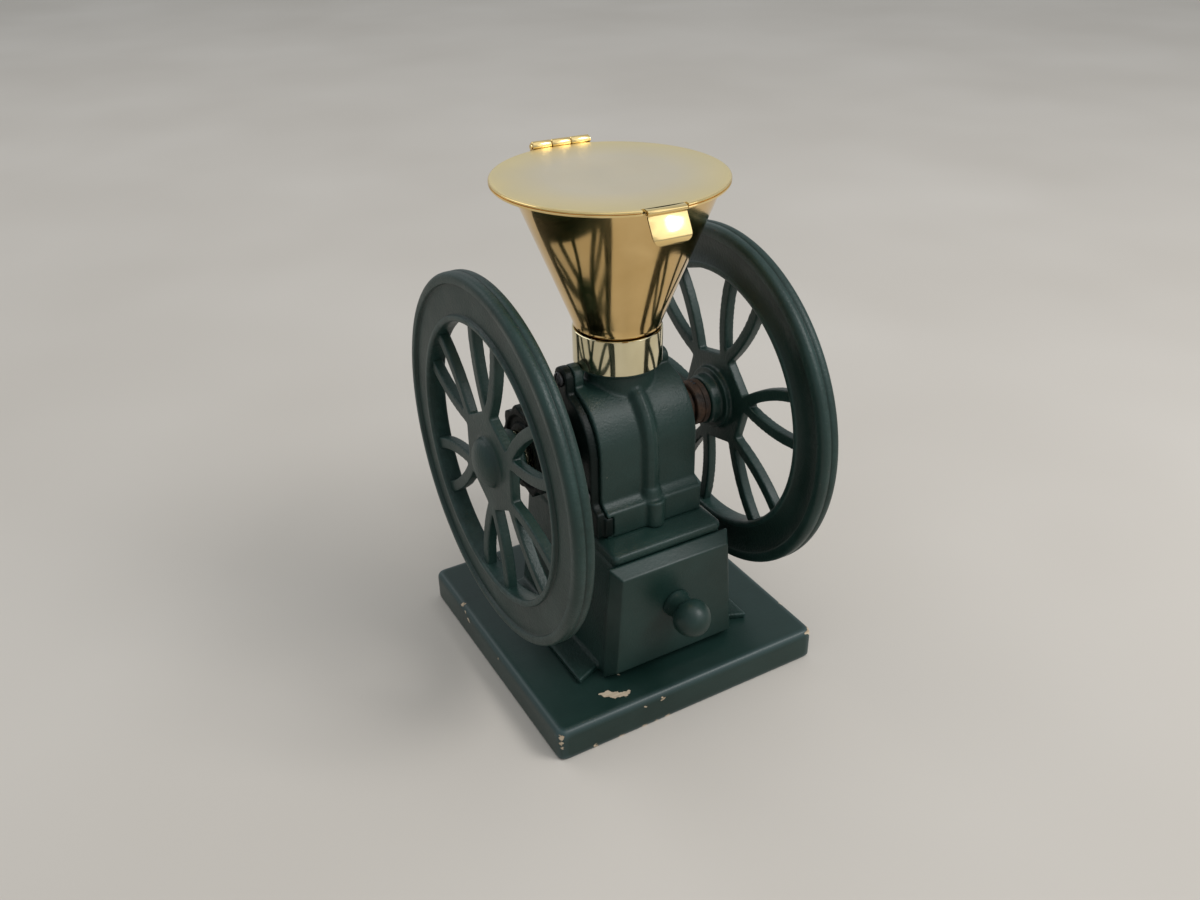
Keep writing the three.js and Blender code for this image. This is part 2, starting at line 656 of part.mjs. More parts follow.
// The grip turns on a shoulder bolt in the right wheel's rim
const gripRadius = wheel.radius - grip.inboard;
const gripTurn = THREE.MathUtils.degToRad(grip.angle);
const gripY = gripRadius * Math.sin(gripTurn);
const gripZ = gripRadius * Math.cos(gripTurn);
const rimFace = rightRimInner + wheel.rimThickness - wheel.bandDepth;
const gripStart = rimFace + grip.washer + 2 * running;
const gripEnd = gripStart + grip.length;

function makeGrip() {
  const { radius: r, length: l } = grip;
  const profile = [
    [grip.bolt + running, 0], [r * 0.62, 0], [r * 0.78, 1.2], [r * 0.66, 4], [r * 0.8, l * 0.3],
    [r, l * 0.62], [r * 0.97, l * 0.8], [r * 0.72, l * 0.95], [grip.head + 1, l],
    [grip.head + running, l], [grip.head + running, l - grip.headRecess],
    [grip.bolt + running, l - grip.headRecess],
    [grip.bolt + running, 0],
  ];
  return turned(profile, 'x', 16);
}

function makeGripBolt() {
  const start = rightRimInner + 1.5;
  const headBase = gripEnd - grip.headRecess + running;
  const profile = [
    [0, start], [grip.bolt, start], [grip.bolt, headBase], [grip.head, headBase],
    [grip.head, headBase + 2.6], [grip.head * 0.7, headBase + 3.6], [0, headBase + 4],
  ];
  const slot = block(headBase + 2.4, headBase + 5, -7, 7, -0.6, 0.6);
  return cut(turned(profile, 'x', 12), slot);
}

// Radius and height of the hopper's outer wall about the shaft axis
const collarTop = neck.height + collar.height;
const hopperRadiusAt = (z) => spigotRadius - 0.06 + (z - collarTop) * hopper.slope;
const coneFoot = collarTop + (hopperNeck - hopperRadiusAt(collarTop)) / hopper.slope;
const coneTop = coneFoot + hopper.height;
function hopperNeckEnd() {
  return coneFoot - hopper.neckLength;
}

// The hopper is one thin brass wall: neck, cone and a small bead round the mouth
function makeHopper() {
  const top = hopperRadiusAt(coneTop);
  const bottom = hopperNeckEnd();
  const inside = hopper.wall * 1.08;
  const profile = [
    [hopperNeck - hopper.wall, bottom], [hopperNeck, bottom], [hopperNeck, coneFoot],
    [top - hopper.bead * 0.5, coneTop - 2 * hopper.bead], [top + hopper.bead, coneTop - 1.6 * hopper.bead],
    [top + hopper.bead, coneTop - 0.5 * hopper.bead], [top, coneTop], [top - inside, coneTop],
    [hopperNeck - inside, coneFoot], [hopperNeck - hopper.wall, bottom],
  ];
  return turned(profile, 'z', 48);
}

const lidRadius = hopperRadiusAt(coneTop) + hopper.bead + lid.overhang;
const hingeHalf = hinge.knuckle * 1.5;
const hingeBore = hinge.pin + 0.15;
const lidTop = coneTop + lid.seat + lid.plate;
const hingeZ = lidTop + lid.below;
const hingeY = lidRadius + 1.8;
const hingeGroup = new THREE.Group();
hingeGroup.position.set(hinge.offsetX, hingeY, hingeZ);
hingeGroup.rotation.z = THREE.MathUtils.degToRad(hinge.skew);
upper.add(hingeGroup);

// The lid is a pressed cap, hinged at the origin of its group, with a folded thumb tab in front
const lidCentre = -(lidRadius + 1);
function makeLid() {
  const top = -lid.below;
  const under = top - lid.plate;
  const low = top - lid.rim;
  const r = lidRadius;
  const { round } = lid;
  const shoulder = arc(r - round, top - round, round, 90, 0, 3);
  const profile = [
    [0, top], ...shoulder, [r, low], [r - lid.plate, low], [r - lid.plate, under], [0, under],
  ];
  const plate = turned(profile, 'z', 48, [0, lidCentre, 0]);
  const clear = hinge.radius + running;
  const wide = hingeHalf + running + 0.3;
  const knuckleCut = block(-wide, wide, -clear, 10, -20, 10);
  const rimCut = block(-wide, wide, -clear - 3.4, 10, -20, under);
  const front = lidCentre - r;
  const half = tab.width / 2;
  const notch = (x) => block(x - tab.notch / 2, x + tab.notch / 2, front - 3, front + 3.4, -20, 10);
  const cap = cut(plate, knuckleCut, rimCut, notch(-half - tab.notch / 2), notch(half + tab.notch / 2));
  return join(cap, makeTab(front));
}

// The tab drops from the rim, runs outwards and turns down again at its tip
function makeTab(front) {
  const top = -lid.below;
  const { thickness: t, reach, drop, tipRound: round } = tab;
  const line = [
    [front + 3, top - 0.1], [front + 0.4, top - 0.1], [front - 0.5, top - 1.2],
    [front - 0.6, top - 0.3 * drop], [front - 0.3 * reach, top - 0.47 * drop],
    [front - 0.66 * reach, top - 0.64 * drop], [front - 0.92 * reach, top - 0.81 * drop],
    [front - reach, top - drop],
  ];
  const inner = line.map(([y, z]) => [y + t * 0.8, z - t * 0.7]);
  const half = tab.width / 2;
  const strap = extruded(outline([...line, ...inner.reverse()]), -half, half, 'x');
  const low = top - drop - t;
  const face = [
    [-half, 10], ...arc(-half + round, low + round, round, 180, 270, 4),
    ...arc(half - round, low + round, round, 270, 360, 4), [half, 10],
  ];
  const shape = outline(face.map(([x, z]) => [z, x]));
  return strap.intersect(extruded(shape, front - 20, front + 10, 'y'));
}

// The knuckles lie side by side on the pin: outer two on the hopper, middle one on the lid
function knuckle(from, to) {
  return tube(hingeBore, hinge.radius, from, to, 'x', 16);
}

function makeLidLeaf() {
  const half = hinge.knuckle / 2 - hinge.gap / 2;
  const under = -lid.below - lid.plate - 0.1;
  const mouth = hopperRadiusAt(coneTop) + hopper.bead - hingeY;
  const leaf = block(-half, half, mouth + hinge.leafGap, -hinge.radius * 0.5, under - hinge.leaf, under);
  const bore = rod(hingeBore, -half - 1, half + 1, 'x', 16);
  return cut(join(knuckle(-half, half), leaf), bore);
}

// The hopper's leaf is a bracket that fits the outside of the cone
function makeHopperLeaf() {
  const inner = hinge.knuckle / 2 + hinge.gap / 2;
  const outer = hingeHalf;
  const coneWall = (drop) => hopperRadiusAt(hingeZ - drop) - hingeY;
  const bend = [
    [hinge.radius, 0], [hinge.radius, -5], [coneWall(9) + 2.1, -9], [coneWall(22) + 1.7, -22],
    [coneWall(22) - overcut, -22], [coneWall(5.6) - 1.2, -5.6], [coneWall(0) + 1.8, -5.4],
    [hinge.radius - 1, -4.2], [hinge.radius - 1, 0],
  ];
  const bracket = extruded(outline(bend), -outer, outer, 'x');
  const knuckles = [knuckle(-outer, -inner), knuckle(inner, outer)];
  const window = block(-inner, inner, -hinge.radius - 1, hinge.radius + 1, -3.4, hinge.radius + 1);
  const cone = new THREE.LatheGeometry([
    new THREE.Vector2(0, coneFoot), new THREE.Vector2(hopperNeck + seat, coneFoot),
    new THREE.Vector2(hopperRadiusAt(coneTop) + seat, coneTop), new THREE.Vector2(0, coneTop)], 48);
  cone.rotateX(Math.PI / 2);
  const top = hopperRadiusAt(coneTop) + hopper.bead + seat;
  const bead = new THREE.CylinderGeometry(top, top, 4 * hopper.bead, 48);
  bead.rotateX(Math.PI / 2);
  bead.translate(0, 0, coneTop - hopper.bead);
  hingeGroup.updateMatrix();
  const inverse = hingeGroup.matrix.clone().invert();
  cone.applyMatrix4(inverse);
  bead.applyMatrix4(inverse);
  const bore = rod(hingeBore, -outer - 1, outer + 1, 'x', 16);
  return cut(join(bracket, ...knuckles), window, solid(cone), solid(bead), bore);
}

function makeHingePin() {
  const end = hingeHalf + 0.5;
  return turned([
    [0, -end - 0.5], [1.5, -end - 0.2], [1.5, -end + 0.3], [hinge.pin - 0.1, -end + 0.3],
    [hinge.pin - 0.1, end - 0.3], [1.5, end - 0.3], [1.5, end + 0.2], [0, end + 0.5],
  ], 'x', 12);
}

// The drawer is a tin box behind a bevelled, tapering front
const drawerBack = pedestal.front - drawer.frontGap;
const drawerFloor = board.thickness + drawer.lift;
function makeDrawerBox() {
  const { half, wall, height, length } = drawer;
  const top = drawerFloor + height;
  const outer = block(-half, half, drawerBack, drawerBack + length, drawerFloor, top);
  const inner = block(-half + wall, half - wall, drawerBack + wall, drawerBack + length - wall,
    drawerFloor + drawer.floor, top + overcut);
  const holes = [knobHole(), ...frontScrewPlaces().map(([x, z]) =>
    screwHole(drawerBack - 1, drawerBack + wall + 1, 'y', [x, 0, z]))];
  return cut(outer, inner, ...holes);
}

const knobZ = board.thickness + knob.height;
const knobHole = () =>
  screwHole(drawerBack - drawer.panel - 1, drawerBack + drawer.wall + 1, 'y', [0, 0, knobZ]);
const frontScrewPlaces = () => [[-20, drawerFloor + 14], [20, drawerFloor + 14]];

function makeDrawerFront() {
  const low = board.thickness + 2 * drawer.lift;
  const high = board.thickness + drawer.panelTop;
  const back = drawerBack;
  const front = drawerBack - drawer.panel;
  const { bevel, land } = drawer;
  const ring = (foot, top, z0, z1, y) => [[-foot, y, z0], [foot, y, z0], [top, y, z1], [-top, y, z1]];
  const foot = drawer.panelFootHalf;
  const top = drawer.panelTopHalf;
  const rings = [
    ring(foot, top, low, high, back), ring(foot, top, low, high, back - land),
    ring(foot - bevel, top - bevel, low + drawer.footBevel, high - bevel, front),
  ];
  const body = strip(rings);
  const holes = frontScrewPlaces().map(([x, z]) => screwHole(back - 4, back + 1, 'y', [x, 0, z]));
  return cut(body, knobHole(), ...holes);
}

function makeKnob() {
  const { head, neckLength, length } = knob;
  const back = 0.1;
  const profile = [
    [0, back], [knob.base, back], [knob.base * 0.97, 1.2], [knob.neck * 1.05, 3.2], [knob.neck, 5.4],
    [knob.neck * 1.06, neckLength - 2.6], [head * 0.82, neckLength - 0.6], [head * 0.96, neckLength + 1],
    [head, neckLength + 3], [head * 0.96, neckLength + 5.8], [head * 0.84, neckLength + 8.4],
    [head * 0.6, length - 2.3], [head * 0.3, length - 0.6], [0, length],
  ];
  const stud = rod(screw.shank + seat, -1, 9, 'x', 8);
  return cut(turned(profile, 'x', 20), stud);
}

// Fixed pieces
mill.add(meshOf('base_board', makeBoard(), boardPaint));
mill.add(meshOf('drawer_housing', makePedestal(), greenPaint));
footScrewPlaces().forEach(([x, y], i) => {
  const z = board.thickness + flange.thickness + 0.1;
  addScrew(mill, `foot_screw_${i + 1}`, flange.thickness + 11, [x, y, z], headUp, darkSteel);
});
roofScrewPlaces().forEach(([x, y], i) => {
  const z = pedestalTop - pedestal.roof - 0.1;
  addScrew(mill, `roof_screw_${i + 1}`, pedestal.roof + 7, [x, y + shaftY, z], headDown);
});
upper.add(meshOf('grinding_housing', makeHousing(), greenPaint));
upper.add(meshOf('left_side_cover', makeCover(), greenPaint));
coverScrewPlaces.forEach(([y, z], i) => {
  const length = cover.thickness + coverScrew.depth - 1;
  addScrew(upper, `left_cover_screw_${i + 1}`, length, [-coverOuter - 0.1, y, z], headLeft, darkSteel);
});
upper.add(meshOf('left_bush', bushTube(-threadEnd, -housing.half), bronze));
upper.add(meshOf('right_bush', bushTube(housing.half - bush.seatDepth + running, rightBushEnd), bronze));
upper.add(meshOf('fixed_burr', makeFixedBurr(), burrIron));
const collarTube = turned([
  [collar.radius - collar.wall, neck.height], [collar.radius, neck.height],
  [collar.radius, collarTop - 0.5], [collar.radius - 0.4, collarTop],
  [collar.radius - collar.wall + 0.3, collarTop], [collar.radius - collar.wall, collarTop - 0.4],
  [collar.radius - collar.wall, neck.height],
], 'z', 36);
upper.add(meshOf('hopper_collar', collarTube, polishedBrass));

// Pieces that turn with the shaft
const shaftLeft = -(leftRimInner + shaftInHub);
const shaftRight = rightRimInner + shaftInHub;
const shaftBody = turned([
  [0, shaftLeft], [shaft.radius - 1, shaftLeft], [shaft.radius, shaftLeft + 1],
  [shaft.radius, shaftRight - 1], [shaft.radius - 1, shaftRight], [0, shaftRight],
]);
upper.add(meshOf('main_shaft', shaftBody, steel));
upper.add(meshOf('feed_auger', makeAuger(), darkSteel));
upper.add(meshOf('turning_burr', makeTurningBurr(), burrIron));
upper.add(meshOf('burr_spring', makeSpring(), steel));
upper.add(meshOf('spring_washer',
  tube(shaftBore, shaftBore + innerWasher.wall, washerFrom, washerFrom + innerWasher.thickness), steel));
const thrustFrom = -leftHubEnd + running;
upper.add(meshOf('thrust_washer',
  tube(shaftBore, shaftBore + thrust.wall, thrustFrom, thrustFrom + thrust.thickness), polishedBrass));
const collarFrom = rightBushEnd + running;
const stopRing = cut(
  tube(shaftBore, ringRadius, collarFrom, collarFrom + collarRing.length),
  screwHole(0, ringRadius + 2, 'z', [collarFrom + collarRing.length / 2, 0, 0]));
upper.add(meshOf('shaft_collar', stopRing, bronze));

const wheelBody = makeWheel();
const leftWheel = meshOf('left_flywheel', wheelBody, greenPaint);
leftWheel.position.x = -leftRimInner;
leftWheel.rotation.set(THREE.MathUtils.degToRad(leftWheelTurn), 0, Math.PI);
upper.add(leftWheel);
const boltAngle = gripTurn + THREE.MathUtils.degToRad(rightWheelTurn);
const boltHole = rodAt(grip.bolt + seat, 1, wheel.rimThickness + 2, 'x',
  [0, gripRadius * Math.sin(boltAngle), gripRadius * Math.cos(boltAngle)]);
const rightWheel = meshOf('right_flywheel', cut(wheelBody, boltHole), greenPaint);
rightWheel.position.x = rightRimInner;
rightWheel.rotation.x = THREE.MathUtils.degToRad(rightWheelTurn);
upper.add(rightWheel);
addGrubScrew('left_wheel_screw', leftRimInner, -1, THREE.MathUtils.degToRad(leftWheelTurn));
addGrubScrew('right_wheel_screw', rightRimInner, 1, THREE.MathUtils.degToRad(rightWheelTurn));
const collarGrub = cut(
  rod(screw.shank, shaftBore, ringRadius - 0.3, 'z', 12),
  block(-5, 5, -screw.slot / 2, screw.slot / 2, ringRadius - 1.2, ringRadius + 1));
const collarScrew = meshOf('collar_screw', collarGrub, darkSteel);
collarScrew.position.x = collarFrom + collarRing.length / 2;
upper.add(collarScrew);

// The grip and its bolt
const gripPivot = new THREE.Group();
gripPivot.position.set(0, gripY, gripZ);
upper.add(gripPivot);
gripPivot.add(meshOf('grip_bolt', makeGripBolt(), steel));
gripPivot.add(meshOf('grip_washer',
  tube(grip.bolt + seat, 6.4, rimFace + running, rimFace + running + grip.washer, 'x', 16), steel));
const gripMesh = meshOf('crank_grip', makeGrip(), greenPaint);
gripMesh.position.x = gripStart;
gripPivot.add(gripMesh);

// The lobed nut on the left cover's thread
function makeNut() {
  const points = [];
  const count = 5 * nut.lobes;
  for (let i = 0; i < count; i += 1) {
    const angle = (2 * Math.PI * i) / count;
    const radius = nut.radius + nut.lobe * Math.cos(nut.lobes * angle);
    points.push([radius * Math.cos(angle), radius * Math.sin(angle)]);
  }
  const disc = extruded(outline(points), -nutOuter, -nutInner, 'x');
  const thread = rod(threadRadius + running, -nutOuter + nut.endWall, -nutInner + 1);
  const eye = rod(bushRadius + running, -nutOuter - 1, -nutInner);
  const hollow = tube(threadRadius + running + nut.hubWall, nut.radius - 4, -nutOuter - 1, -nutOuter + 1.5);
  return cut(disc, thread, eye, hollow);
}
upper.add(meshOf('adjusting_nut', makeNut(), greenPaint));

// Hopper, its hinge and the lid
upper.add(meshOf('hopper_cone', makeHopper(), polishedBrass));
hingeGroup.add(meshOf('hopper_hinge_leaf', makeHopperLeaf(), polishedBrass));
hingeGroup.add(meshOf('hinge_pin', makeHingePin(), polishedBrass));
hingeGroup.add(meshOf('lid', makeLid(), satinBrass));
hingeGroup.add(meshOf('lid_hinge_leaf', makeLidLeaf(), polishedBrass));

// Drawer
mill.add(meshOf('drawer_box', makeDrawerBox(), tinplate));
mill.add(meshOf('drawer_front', makeDrawerFront(), greenPaint));
const knobMesh = meshOf('drawer_knob', makeKnob(), greenPaint);
knobMesh.position.set(0, drawerBack - drawer.panel, knobZ);
knobMesh.rotation.z = -Math.PI / 2;
mill.add(knobMesh);
addScrew(mill, 'knob_screw', drawer.wall + drawer.panel + 8,
  [0, drawerBack + drawer.wall + 0.1, knobZ], headBack);
frontScrewPlaces().forEach(([x, z], i) => {
  addScrew(mill, `front_screw_${i + 1}`, drawer.wall + 3.5, [x, drawerBack + drawer.wall + 0.1, z], headBack);
});

export default mill;
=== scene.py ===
# %% [markdown]
# A small table mill with two cast flywheels, a brass hopper and a drawer in its pedestal.
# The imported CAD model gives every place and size. This lesson dresses it: each piece that shows
# is modelled again with more detail, or keeps its CAD mesh and gets a better finish.

import json
import math

import bpy
from mathutils import Matrix, Vector


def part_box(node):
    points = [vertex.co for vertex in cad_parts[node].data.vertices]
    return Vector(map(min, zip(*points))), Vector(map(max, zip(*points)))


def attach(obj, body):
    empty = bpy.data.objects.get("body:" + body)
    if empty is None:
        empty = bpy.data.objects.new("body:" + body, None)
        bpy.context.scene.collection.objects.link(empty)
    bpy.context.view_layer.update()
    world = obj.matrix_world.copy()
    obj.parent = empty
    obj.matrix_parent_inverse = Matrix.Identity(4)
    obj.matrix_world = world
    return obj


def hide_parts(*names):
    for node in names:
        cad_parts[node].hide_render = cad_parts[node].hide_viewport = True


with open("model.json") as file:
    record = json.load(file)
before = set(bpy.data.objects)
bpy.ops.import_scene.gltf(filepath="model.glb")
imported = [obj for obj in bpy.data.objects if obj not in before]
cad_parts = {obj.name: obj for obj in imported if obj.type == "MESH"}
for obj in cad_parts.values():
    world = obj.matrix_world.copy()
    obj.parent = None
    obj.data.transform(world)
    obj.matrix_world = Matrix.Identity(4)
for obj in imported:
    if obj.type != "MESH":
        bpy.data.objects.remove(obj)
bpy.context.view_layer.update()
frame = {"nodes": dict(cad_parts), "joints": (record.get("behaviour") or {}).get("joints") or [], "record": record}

# %% [markdown]
# Lengths in this file are written in millimetres, as a workshop drawing has them, and MM turns
# them into Blender's metres. Most pieces are turned about the shaft's axis or about the
# hopper's. The two cross, so SHAFT_Y gives the place of both, and it is named once.

# %% Units and axes
MM = 0.001
SHAFT_Y, SHAFT_Z = -3.7, 136.2


def metres(*lengths):
    return Vector([length * MM for length in lengths])


def on_shaft(x):
    """The matrix that moves a piece from the origin onto the shaft's axis, at x in metres."""
    return Matrix.Translation(Vector((x, SHAFT_Y * MM, SHAFT_Z * MM)))


print("shaft axis at", tuple(on_shaft(0).translation))

# %% [markdown]
# The camera stands where the photographer stood. Its place, its three angles and its lens were
# solved from the mill's own edges and rims. Yaw, pitch and roll are turned into a matrix by
# hand, because that keeps the roll separate from the other two.

# %% Camera
SENSOR_WIDTH = 36
FOCAL_LENGTH, PICTURE_WIDTH = 1099.32, 1200  # both in the photograph's pixels
bpy.ops.object.camera_add()
camera = bpy.context.object
camera.name = "photo_camera"
yaw, pitch, roll = (math.radians(angle) for angle in (29.239, 30.541, 1.077))
forward = Vector((math.sin(yaw) * math.cos(pitch), math.cos(yaw) * math.cos(pitch),
                  -math.sin(pitch)))
level_right = Vector((math.cos(yaw), -math.sin(yaw), 0))
level_down = forward.cross(level_right)
right = level_right * math.cos(roll) + level_down * math.sin(roll)
down = level_down * math.cos(roll) - level_right * math.sin(roll)
turn = Matrix((right, -down, -forward)).transposed().to_4x4()
camera.matrix_world = Matrix.Translation(metres(-253.9, -437.2, 416.8)) @ turn
camera.data.sensor_width = SENSOR_WIDTH
camera.data.lens = SENSOR_WIDTH * FOCAL_LENGTH / PICTURE_WIDTH
camera.data.clip_start, camera.data.clip_end = 0.02, 50
bpy.context.scene.camera = camera
place = tuple(round(value, 3) for value in camera.location)
print("camera at", place, "lens", round(camera.data.lens, 2))

# %% [markdown]
# The studio is a pale floor, a pale world and a wide soft lamp overhead, as under a bright
# ceiling. A smaller lamp stands where a window would, high in front on the right: rounded
# edges that face it catch a line of light. A weak one behind lights the tops, and a card in
# front is there to be seen in the polished tab, because real brass shows what is round it.

# %% Studio
bpy.context.scene.view_settings.view_transform = "Standard"
FLOOR_SIDE = 12  # metres
bpy.ops.mesh.primitive_plane_add(size=FLOOR_SIDE, location=(0, 0, 0))
floor = bpy.context.object
floor.name = "studio_floor"

world = bpy.data.worlds.new("soft_room")
bpy.context.scene.world = world
world.use_nodes = True
room_light = world.node_tree.nodes["Background"]
room_light.inputs["Color"].default_value = (0.91, 0.96, 1.0, 1)
room_light.inputs["Strength"].default_value = 0.56


def soft_lamp(name, place, target, width, height, power):
    """An area lamp that faces a point. Its lengths are in metres and its power is in watts."""
    bpy.ops.object.light_add(type="AREA", location=place)
    lamp = bpy.context.object
    lamp.name = name
    lamp.data.shape = "RECTANGLE"
    lamp.data.size, lamp.data.size_y = width, height
    lamp.data.energy = power
    aim = Vector(target) - Vector(place)
    lamp.rotation_euler = aim.to_track_quat("-Z", "Y").to_euler()
    return lamp


soft_lamp("sky_lamp", (0.35, -0.6, 2.2), (0, 0, 0.1), 2.4, 2.2, 8)
soft_lamp("window_lamp", (0.85, -1.0, 1.55), (0, 0, 0.1), 0.7, 0.7, 13)
soft_lamp("back_lamp", (-0.8, 1.5, 1.6), (0, 0, 0.15), 1.2, 1.2, 5)
soft_lamp("front_card", (0.95, -1.65, 1.15), (0, 0, 0.25), 2.0, 1.5, 8)

# %% [markdown]
# A material is a small graph. These helpers start one, add a node with its values set, and
# give the usual noise on Object coordinates, so that each finish below reads as a recipe.

# %% Material helpers


def start_finish(name, **values):
    """A new material; the named values go straight to its shader's sockets."""
    finish = bpy.data.materials.new(name)
    finish.use_nodes = True
    tree = finish.node_tree
    shader = tree.nodes["Principled BSDF"]
    for socket, value in values.items():
        shader.inputs[socket.replace("_", " ")].default_value = value
    place = tree.nodes.new("ShaderNodeTexCoord").outputs["Object"]
    return finish, tree, shader, place


def add(tree, kind, **values):
    """Adds a node; a value that is a socket is linked, any other is set."""
    node = tree.nodes.new("ShaderNode" + kind)
    for key, value in values.items():
        if key[0].islower():
            setattr(node, key, value)
        elif isinstance(value, bpy.types.NodeSocket):
            tree.links.new(value, node.inputs[key.replace("_", " ")])
        else:
            node.inputs[key.replace("_", " ")].default_value = value
    return node


def noise(tree, place, scale, detail=3, stretch=(1, 1, 1), distortion=0):
    """Noise with about `scale` lumps to the metre, pulled out along an axis by stretch."""
    mapped = add(tree, "Mapping", Vector=place, Scale=stretch).outputs["Vector"]
    return add(tree, "TexNoise", Vector=mapped, Scale=scale, Detail=detail,
               Distortion=distortion).outputs["Fac"]


def ramp(tree, value, stops):
    """A colour ramp; each stop is (position, colour)."""
    node = add(tree, "ValToRGB", Fac=value)
    elements = node.color_ramp.elements
    while len(elements) < len(stops):
        elements.new(0.5)
    for element, (position, colour) in zip(elements, stops):
        element.position = position
        element.color = (*colour, 1)
    return node.outputs["Color"]


def between(tree, value, low, high, to_low, to_high):
    """Maps low..high to to_low..to_high and holds it there."""
    node = add(tree, "MapRange", Value=value)
    for socket, number in (("From Min", low), ("From Max", high), ("To Min", to_low),
                           ("To Max", to_high)):
        node.inputs[socket].default_value = number
    return node.outputs["Result"]


def blend(tree, share, first, second, how="MIX"):
    """Mixes two colours; share is a socket or a number."""
    node = tree.nodes.new("ShaderNodeMix")
    node.data_type, node.blend_type = "RGBA", how
    for index, value in ((0, share), (6, first), (7, second)):
        if isinstance(value, bpy.types.NodeSocket):
            tree.links.new(value, node.inputs[index])
        else:
            node.inputs[index].default_value = value if index == 0 else (*value, 1)
    return node.outputs[2]


def reckon(tree, how, first, second):
    """One step of arithmetic on two values."""
    node = tree.nodes.new("ShaderNodeMath")
    node.operation = how
    for index, value in enumerate((first, second)):
        if isinstance(value, bpy.types.NodeSocket):
            tree.links.new(value, node.inputs[index])
        else:
            node.inputs[index].default_value = value
    return node.outputs[0]


def bumps(tree, shader, layers):
    """Stacks bump layers of (height socket, depth in metres, strength) on a shader."""
    normal = None
    for height, depth, strength in layers:
        node = add(tree, "Bump", Height=height, Distance=depth, Strength=strength)
        if normal:
            tree.links.new(normal, node.inputs["Normal"])
        normal = node.outputs["Normal"]
    tree.links.new(normal, shader.inputs["Normal"])


RAGGED, SOFT = 5, 0.25  # in millimetres: how far noise pushes a chip, and how wide its edge is


def chip_mask(tree, place, chips):
    """One inside any ball of chips, whose edge is made ragged by noise, and zero elsewhere."""
    ragged = add(tree, "TexNoise", Vector=place, Scale=380, Detail=5).outputs["Color"]
    shifted = add(tree, "VectorMath", operation="MULTIPLY_ADD")
    tree.links.new(ragged, shifted.inputs[0])
    shifted.inputs[1].default_value = metres(RAGGED, RAGGED, RAGGED)
    tree.links.new(place, shifted.inputs[2])
    mask = None
    for x, y, z, radius in chips:
        away = add(tree, "VectorMath", operation="DISTANCE")
        tree.links.new(shifted.outputs["Vector"], away.inputs[0])
        away.inputs[1].default_value = metres(x, y, z) + metres(RAGGED, RAGGED, RAGGED) / 2
        inside = between(tree, away.outputs["Value"], radius * MM, (radius - SOFT) * MM, 0, 1)
        mask = inside if mask is None else reckon(tree, "MAXIMUM", mask, inside)
    return mask


print("helpers ready")

# %% [markdown]
# The floor is plain matt card. A little noise keeps it from looking like a screen.

# %% Floor finish
card, tree, shader, place = start_finish("pale_card", Roughness=0.85)
tone = ramp(tree, noise(tree, place, 3, 2), [
    (0.3, (0.55, 0.505, 0.45)), (0.7, (0.60, 0.555, 0.50))])
tree.links.new(tone, shader.inputs["Base Color"])
floor.data.materials.append(card)
print("floor:", card.name)

# %% [markdown]
# The castings wear an old bottle-green enamel. Thick paint on sand-cast iron has three scales
# of relief: slow waves of the casting, the grain of the sand, and a fine orange peel. The
# edges are a little lighter, partly as wear and partly as a painted highlight, and the hollows
# are darker, partly as dust and partly as painted shade. Cycles' Pointiness finds both. The
# side cover and the nut lie in the shade behind the left wheel, so they get the same recipe in
# a much darker tone, which is painted shade. The drawer's front and knob were sanded before
# they were painted, so theirs has little grain, and the panel has lost a fleck at one corner.

# %% Green enamel


def enamel(name, light, relief, shine, chips=()):
    """Bottle-green paint; light scales its colour, relief its sand grain and shine its gloss."""
    finish, tree, shader, place = start_finish(name, Coat_Weight=0.1 * shine, Coat_Roughness=0.3,
                                               Specular_IOR_Level=shine)
    dark, pale, edge = (Vector(tone) * light for tone in (
        (0.0062, 0.0230, 0.0178), (0.0118, 0.0345, 0.0285), (0.036, 0.076, 0.072)))
    deep = ramp(tree, noise(tree, place, 45, 5), [(0.32, dark), (0.68, pale)])
    bend = add(tree, "NewGeometry").outputs["Pointiness"]
    # Lighter convex edges: partly wear, partly a painted highlight.
    wear_and_highlight = reckon(tree, "MULTIPLY", between(tree, bend, 0.52, 0.57, 0, 1),
                    between(tree, noise(tree, place, 260, 4), 0.42, 0.62, 0.1, 0.7))
    worn_and_highlit = blend(tree, wear_and_highlight, deep, edge)
    # Darker hollows: partly dust, partly painted shade.
    dust_and_shade = blend(tree, between(tree, bend, 0.43, 0.49, 0.6, 0), worn_and_highlit, (0.004, 0.007, 0.005))
    specks = between(tree, noise(tree, place, 420, 2), 0.765, 0.78, 0, 0.6 * light)
    paint = blend(tree, specks, dust_and_shade, (0.11, 0.11, 0.085))
    if chips:
        bare = (0.52, 0.42, 0.30)
        paint = blend(tree, chip_mask(tree, place, chips), paint, bare)
    tree.links.new(paint, shader.inputs["Base Color"])
    gloss = between(tree, noise(tree, place, 30, 4), 0.3, 0.7, 0.34, 0.50)
    tree.links.new(gloss, shader.inputs["Roughness"])
    bumps(tree, shader, [
        (noise(tree, place, 110, 2), 0.0009, 0.25 * relief),
        (noise(tree, place, 760, 3), 0.0004, 0.5 * relief),
        (noise(tree, place, 1900, 2), 0.0002, 0.40 * relief),
    ])
    return finish


green_enamel = enamel("green_enamel", 1.0, 1.0, 0.36)
# A dark copy of the enamel for the side cover and the nut: painted shade, for the shadow they lie in behind the
# left wheel.
painted_shade_enamel = enamel("painted_shade_enamel", 0.2, 1.0, 0.15)
PANEL_CHIPS = [(-33.4, -58.5, 19.7, 1.5), (-32.2, -59.1, 19.3, 0.9)]  # x, y, z and radius
smooth_enamel = enamel("smooth_enamel", 0.95, 0.35, 0.36, PANEL_CHIPS)
print("finishes:", green_enamel.name, painted_shade_enamel.name, smooth_enamel.name)

# %% [markdown]
# The board has the same green, but on wood: the paint is flatter, a faint grain runs along it,
# and it has chipped to pale wood. Each chip is a ball round a point on the board, pushed out
# of shape by noise, so it can be put exactly where the real one has lost its paint.

